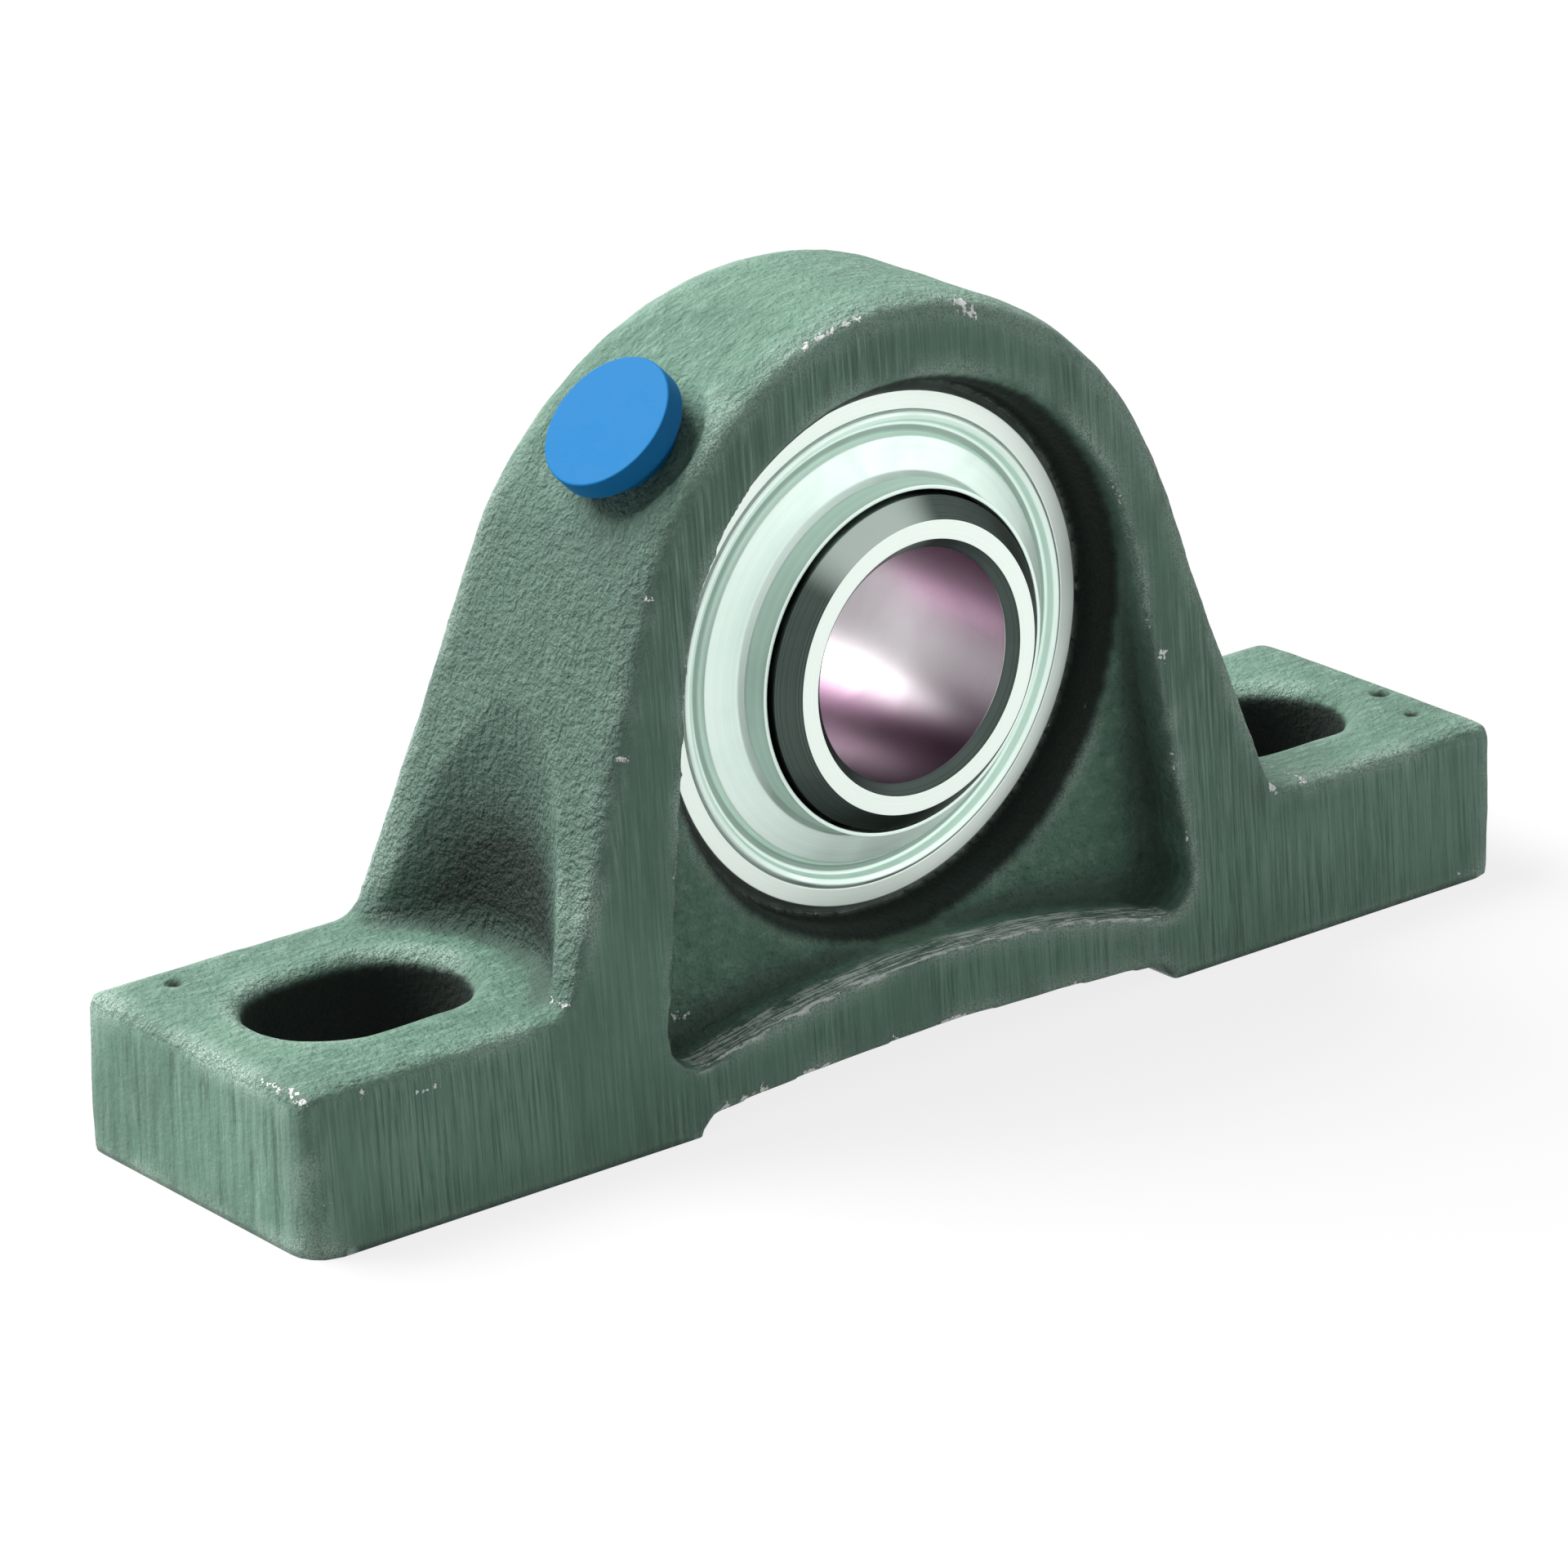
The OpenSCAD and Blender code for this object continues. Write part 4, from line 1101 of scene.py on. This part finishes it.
# %% Tree: one ball of the row
ball_tree, start, end = geometry_tree("ball_of_row", {
    "Number": 0, "Count": 8, "Pitch Radius": 0.01675, "Ball Radius": 0.004,
    "Shaft Height": 0.0333,
})
sphere = add(ball_tree, "GeometryNodeMeshUVSphere",
             {"Segments": 64, "Rings": 32, "Radius": start["Ball Radius"]})
smooth = add(ball_tree, "GeometryNodeSetShadeSmooth", {"Geometry": sphere.outputs[0]})
turn_share = math_node(ball_tree, "DIVIDE", start["Number"], start["Count"])
angle = times(ball_tree, turn_share, 2 * math.pi)
ball_x = times(ball_tree, math_node(ball_tree, "SINE", angle), start["Pitch Radius"])
ball_z = times(ball_tree, math_node(ball_tree, "COSINE", angle), start["Pitch Radius"])
ball_z = plus(ball_tree, ball_z, start["Shaft Height"])
where = add(ball_tree, "ShaderNodeCombineXYZ", {"X": ball_x, "Z": ball_z})
moved = add(ball_tree, "GeometryNodeTransform",
            {"Geometry": smooth.outputs[0], "Translation": where.outputs[0]})
close_tree(ball_tree, moved.outputs[0], end, ball_steel)

# %% Grow the eight balls
ball_count = sum(1 for node in frame["nodes"] if node.startswith("ball_"))
balls = [
    grow("bearing_ball_%d" % (number + 1), ball_tree, {
        "Number": number, "Count": ball_count, "Pitch Radius": pitch_radius * MM,
        "Ball Radius": ball_radius * MM, "Shaft Height": shaft_centre.z,
    })
    for number in range(ball_count)
]

# %% [markdown]
# ## Cage rivets
# Eight rivets hold the halves of the cage, one between every two balls. The tree makes one
# rivet from a shank and two rounded heads and sets it on the points of a circle.

# %% Tree: rivets on a circle
rivet_tree, start, end = geometry_tree("rivet_circle", {
    "Count": 8, "Circle Radius": 0.01675, "Shank Radius": 0.0005, "Head Radius": 0.0009,
    "Head Height": 0.00045, "Sheet": 0.0005, "Shaft Height": 0.0333,
})
circle = add(rivet_tree, "GeometryNodeMeshCircle",
             {"Vertices": start["Count"], "Radius": start["Circle Radius"]})
half_step = math_node(rivet_tree, "DIVIDE", math.pi, start["Count"])
turned = add(rivet_tree, "GeometryNodeTransform",
             {"Geometry": circle.outputs[0],
              "Rotation": add(rivet_tree, "ShaderNodeCombineXYZ", {"Z": half_step}).outputs[0]})
shank_length = times(rivet_tree, start["Sheet"], 2.0)
shank = add(rivet_tree, "GeometryNodeMeshCylinder",
            {"Vertices": 24, "Radius": start["Shank Radius"], "Depth": shank_length})
head = add(rivet_tree, "GeometryNodeMeshUVSphere",
           {"Segments": 24, "Rings": 12, "Radius": start["Head Radius"]})
flatness = math_node(rivet_tree, "DIVIDE", start["Head Height"], start["Head Radius"])
flat = add(rivet_tree, "ShaderNodeCombineXYZ", {"X": 1.0, "Y": 1.0, "Z": flatness})
joined = add(rivet_tree, "GeometryNodeJoinGeometry")
fill(rivet_tree, joined.inputs[0], shank.outputs[0])
for side in (-1, 1):
    offset = times(rivet_tree, start["Sheet"], float(side))
    at = add(rivet_tree, "ShaderNodeCombineXYZ", {"Z": offset})
    placed = add(rivet_tree, "GeometryNodeTransform",
                 {"Geometry": head.outputs[0], "Translation": at.outputs[0],
                  "Scale": flat.outputs[0]})
    fill(rivet_tree, joined.inputs[0], placed.outputs[0])
row = add(rivet_tree, "GeometryNodeInstanceOnPoints",
          {"Points": turned.outputs[0], "Instance": joined.outputs[0]})
lift = add(rivet_tree, "ShaderNodeCombineXYZ", {"Z": start["Shaft Height"]})
upright = add(rivet_tree, "GeometryNodeTransform",
              {"Geometry": row.outputs[0], "Translation": lift.outputs[0],
               "Rotation": (math.radians(90), 0, 0)})
smooth = add(rivet_tree, "GeometryNodeSetShadeSmooth", {"Geometry": upright.outputs[0]})
close_tree(rivet_tree, smooth.outputs[0], end, cage_steel)

# %% Grow the rivets
rivets = grow("cage_rivets_round", rivet_tree, {
    "Count": ball_count, "Circle Radius": pitch_radius * MM, "Shaft Height": shaft_centre.z,
})

# %% [markdown]
# ## Cage halves and pin
# The halves of the cage are sheet rings with a round pocket pressed out for every ball. Their
# solids have the right shape already, so a merged copy with smooth shading and a small bevel on
# its edges is enough. The pin in the roof of the seat is treated the same way.

# %% Bevelled copies of the solids
def bevelled_copy(node, name, material, width):
    sharpest_kept = math.radians(35)
    piece = joined_copy(node, name)
    soften = piece.modifiers.new("soften", "BEVEL")
    soften.width = width * MM
    soften.segments = 2
    soften.limit_method = "ANGLE"
    soften.angle_limit = sharpest_kept
    baked(piece)
    piece.data.materials.append(material)
    piece.data.shade_smooth()
    piece.data.set_sharp_from_angle(angle=sharpest_kept)
    print(name, len(piece.data.polygons), "faces")
    return piece


cage_front = bevelled_copy("cage_front", "cage_front_pressed", cage_steel, 0.04)
cage_back = bevelled_copy("cage_back", "cage_back_pressed", cage_steel, 0.04)
locating_pin = bevelled_copy("locating_pin", "locating_pin_turned", ground_steel, 0.05)

# %% [markdown]
# ## Set screws
# Two short screws at the long end of the inner ring grip the shaft. Each has a thread, a
# hexagon socket outside and a plain dog point inside. The thread is a helix: Geometry Nodes
# sweep a small triangle along a spiral, which is how a thread-cutting tool moves.

# %% Tree: thread
thread_tree, start, end = geometry_tree("screw_thread", {
    "Radius": 0.0023, "Pitch": 0.0007, "Turns": 6.0, "Depth": 0.00022,
})
helix_length = times(thread_tree, start["Pitch"], start["Turns"])
helix = add(thread_tree, "GeometryNodeCurveSpiral",
            {"Resolution": 40, "Rotations": start["Turns"], "Start Radius": start["Radius"],
             "End Radius": start["Radius"], "Height": helix_length})
tooth = add(thread_tree, "GeometryNodeCurvePrimitiveCircle",
            {"Resolution": 3, "Radius": start["Depth"]})
swept = add(thread_tree, "GeometryNodeCurveToMesh",
            {"Curve": helix.outputs[0], "Profile Curve": tooth.outputs[0], "Fill Caps": True})
close_tree(thread_tree, swept.outputs[0], end, black_steel)


# %% Build both screws
screw_tip = bore_radius + 0.3
screw_length = 6.0
thread_pitch, thread_depth, thread_turns = 0.7, 0.22, 5.4
socket_across, socket_depth = 2.5, 2.6


def hexagon_cutter(name, radius, depth, place):
    net = bmesh.new()
    ends = []
    for along in (screw_length - depth, screw_length + 1):
        ends.append([
            net.verts.new(place @ (Vector((radius * math.cos(i * math.pi / 3),
                                           radius * math.sin(i * math.pi / 3), along)) * MM))
            for i in range(6)
        ])
    net.faces.new(ends[0])
    net.faces.new(ends[1])
    for i in range(6):
        net.faces.new((ends[0][i - 1], ends[0][i], ends[1][i], ends[1][i - 1]))
    bmesh.ops.recalc_face_normals(net, faces=net.faces)
    return piece_from(net, name)


def set_screw(number, joint):
    place = screw_place(joint) @ Matrix.Translation((0, 0, screw_tip * MM))
    core = screw_radius - thread_depth
    outline = [(0, 0, 0), (core - 0.8, 0), (core - 0.8, 0.9), (core, 1.3),
               (core, screw_length - 0.4), (core - 0.4, screw_length), (0, screw_length, 0)]
    screw = lathe("set_screw_%d_threaded" % number, rounded(outline, 0.08, 3), place, 64,
                  black_steel)
    carve(screw, [hexagon_cutter("socket_cutter", 0.577 * socket_across, socket_depth, place)])
    thread = grow("thread", thread_tree, {
        "Radius": (core - 0.01) * MM, "Pitch": thread_pitch * MM, "Turns": thread_turns,
        "Depth": thread_depth * MM,
    })
    thread.data.transform(place @ Matrix.Translation((0, 0, 1.5 * MM)))
    net = bmesh.new()
    net.from_mesh(screw.data)
    net.from_mesh(thread.data)
    net.to_mesh(screw.data)
    net.free()
    bpy.data.objects.remove(thread)
    return screw


set_screws = [set_screw(i + 1, joint) for i, joint in enumerate(screw_joints)]

# %% [markdown]
# ## Grease cap
# A moulded flat disc with a soft edge stands on a collar over the grease hole; its stem is
# pushed into the hole. It is spun round the axis along which it pulls out.

# %% Cap
cap_axis = Vector(joints["plug_pull"]["axis"])
cap_y, arch_lift = -2.0, 0.6
arch_centre = Vector((0, cap_y * MM, shaft_centre.z + arch_lift * MM))
cap_turn = Vector((0, 0, 1)).rotation_difference(cap_axis).to_matrix().to_4x4()
cap_place = Matrix.Translation(arch_centre) @ cap_turn
arch_radius = casting_high.z / MM - arch_centre.z / MM
cap_radius = 6.05
cap_under = arch_radius + 0.8
cap_top = cap_under + 2.3
stem, collar = 2.95, 4.25
stem_end, collar_foot = arch_radius - 5, arch_radius - 0.9
cap_outline = [
    (0, stem_end, 0), (stem - 0.5, stem_end), (stem, stem_end + 0.5),
    (stem, collar_foot), (collar, collar_foot), (collar, cap_under),
    (cap_radius - 0.25, cap_under, 0.15), (cap_radius, cap_under + 0.35, 0.3),
    (cap_radius, cap_top, 0.22), (0, cap_top, 0),
]
grease_cap = lathe("grease_cap_moulded", rounded(cap_outline, 0.1, 6), cap_place, 192,
                   blue_plastic)

# %% [markdown]
# ## Bodies
# Every piece rides on the body of the solid that it stands for and hides that solid. The loop reads
# the body from the record, so a piece can't end up on the wrong one.

# %% Hand the pieces to the frame
stands_for = {
    casting: "housing", grease_cap: "grease_plug", locating_pin: "locating_pin",
    outer_ring: "outer_ring", inner_ring: "inner_ring", cage_front: "cage_front",
    cage_back: "cage_back", rivets: "cage_rivets",
}
for i, ball in enumerate(balls):
    stands_for[ball] = "ball_%d" % (i + 1)
for word in ("front", "back"):
    stands_for[shields[word]] = word + "_shield"
    stands_for[seals[word]] = word + "_seal"
    stands_for[washers[word]] = word + "_washer"
for i, screw in enumerate(set_screws):
    stands_for[screw] = "set_screw_%d" % (i + 1)
for piece, node in stands_for.items():
    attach(piece, body_of_node[node])
    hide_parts(node)
print(len(stands_for), "pieces stand for", len(frame["nodes"]), "solids")

# %% [markdown]
# ## Floor and light
# The photograph is cut out on white. A pale floor catches a faint shadow, and for camera rays it
# is lifted towards white, as is the world. The light itself stays plain: a broad lamp high on
# the left and behind, a weak one in front, and a dim world that fills the rest.

# %% Floor
floor_net = bmesh.new()
bmesh.ops.create_grid(floor_net, x_segments=1, y_segments=1, size=3.0)
floor = piece_from(floor_net, "floor")
floor_paint = bpy.data.materials.new("floor_paint")
floor_paint.use_nodes = True
tree = floor_paint.node_tree
shader = tree.nodes["Principled BSDF"]
seen_grey, bounce_grey = (0.86, 0.86, 0.86, 1), (0.42, 0.42, 0.42, 1)
ray = add(tree, "ShaderNodeLightPath").outputs
fill(tree, shader.inputs["Base Color"],
     blend_colour(tree, ray["Is Diffuse Ray"], seen_grey, bounce_grey))
shader.inputs["Roughness"].default_value = 0.9
shader.inputs["Specular IOR Level"].default_value = 0.1
white = add(tree, "ShaderNodeEmission", {"Color": (1, 1, 1, 1), "Strength": 1.0})
seen = larger(tree, ray["Is Glossy Ray"], ray["Is Transmission Ray"])
seen = times(tree, larger(tree, ray["Is Camera Ray"], seen), 0.82)
mix = add(tree, "ShaderNodeMixShader", {0: seen, 1: shader.outputs[0], 2: white.outputs[0]})
fill(tree, tree.nodes["Material Output"].inputs["Surface"], mix.outputs[0])
floor.data.materials.append(floor_paint)
print("floor:", [round(side, 1) for side in floor.dimensions])

# %% World: dim for the light it gives, white where it is seen
world = bpy.data.worlds.new("studio")
bpy.context.scene.world = world
world.use_nodes = True
tree = world.node_tree
background = tree.nodes["Background"]
ray = add(tree, "ShaderNodeLightPath").outputs
direction = add(tree, "ShaderNodeTexCoord").outputs["Generated"]
sky = add(tree, "ShaderNodeSeparateXYZ", {0: direction}).outputs
level = ramp(tree, sky["Z"], -0.2, 0.9, 0.08, 0.22)
seen = larger(tree, ray["Is Camera Ray"], ray["Is Transmission Ray"])
seen = larger(tree, seen, ray["Is Glossy Ray"])
fill(tree, background.inputs["Strength"],
     plus(tree, times(tree, seen, minus(tree, 1.0, level)), level))
background.inputs["Color"].default_value = (1, 1, 1, 1)
print("world:", world.name)


# %% Lamps
def lamp(name, place, aim, size, power):
    light = bpy.data.lights.new(name, "AREA")
    light.shape = "SQUARE"
    light.size = size
    light.energy = power
    thing = bpy.data.objects.new(name, light)
    thing.location = place
    thing.rotation_euler = (Vector(aim) - Vector(place)).to_track_quat("-Z", "Y").to_euler()
    bpy.context.collection.objects.link(thing)
    return thing


middle = (0, 0, 0.03)
key = lamp("key", (-0.32, 0.50, 0.73), middle, size=0.66, power=15.6)
front = lamp("fill", (0.40, -0.42, 0.12), middle, size=0.4, power=0.42)
print("lamps:", key.data.energy, front.data.energy)

# %% Colour
bpy.context.scene.view_settings.view_transform = "Standard"
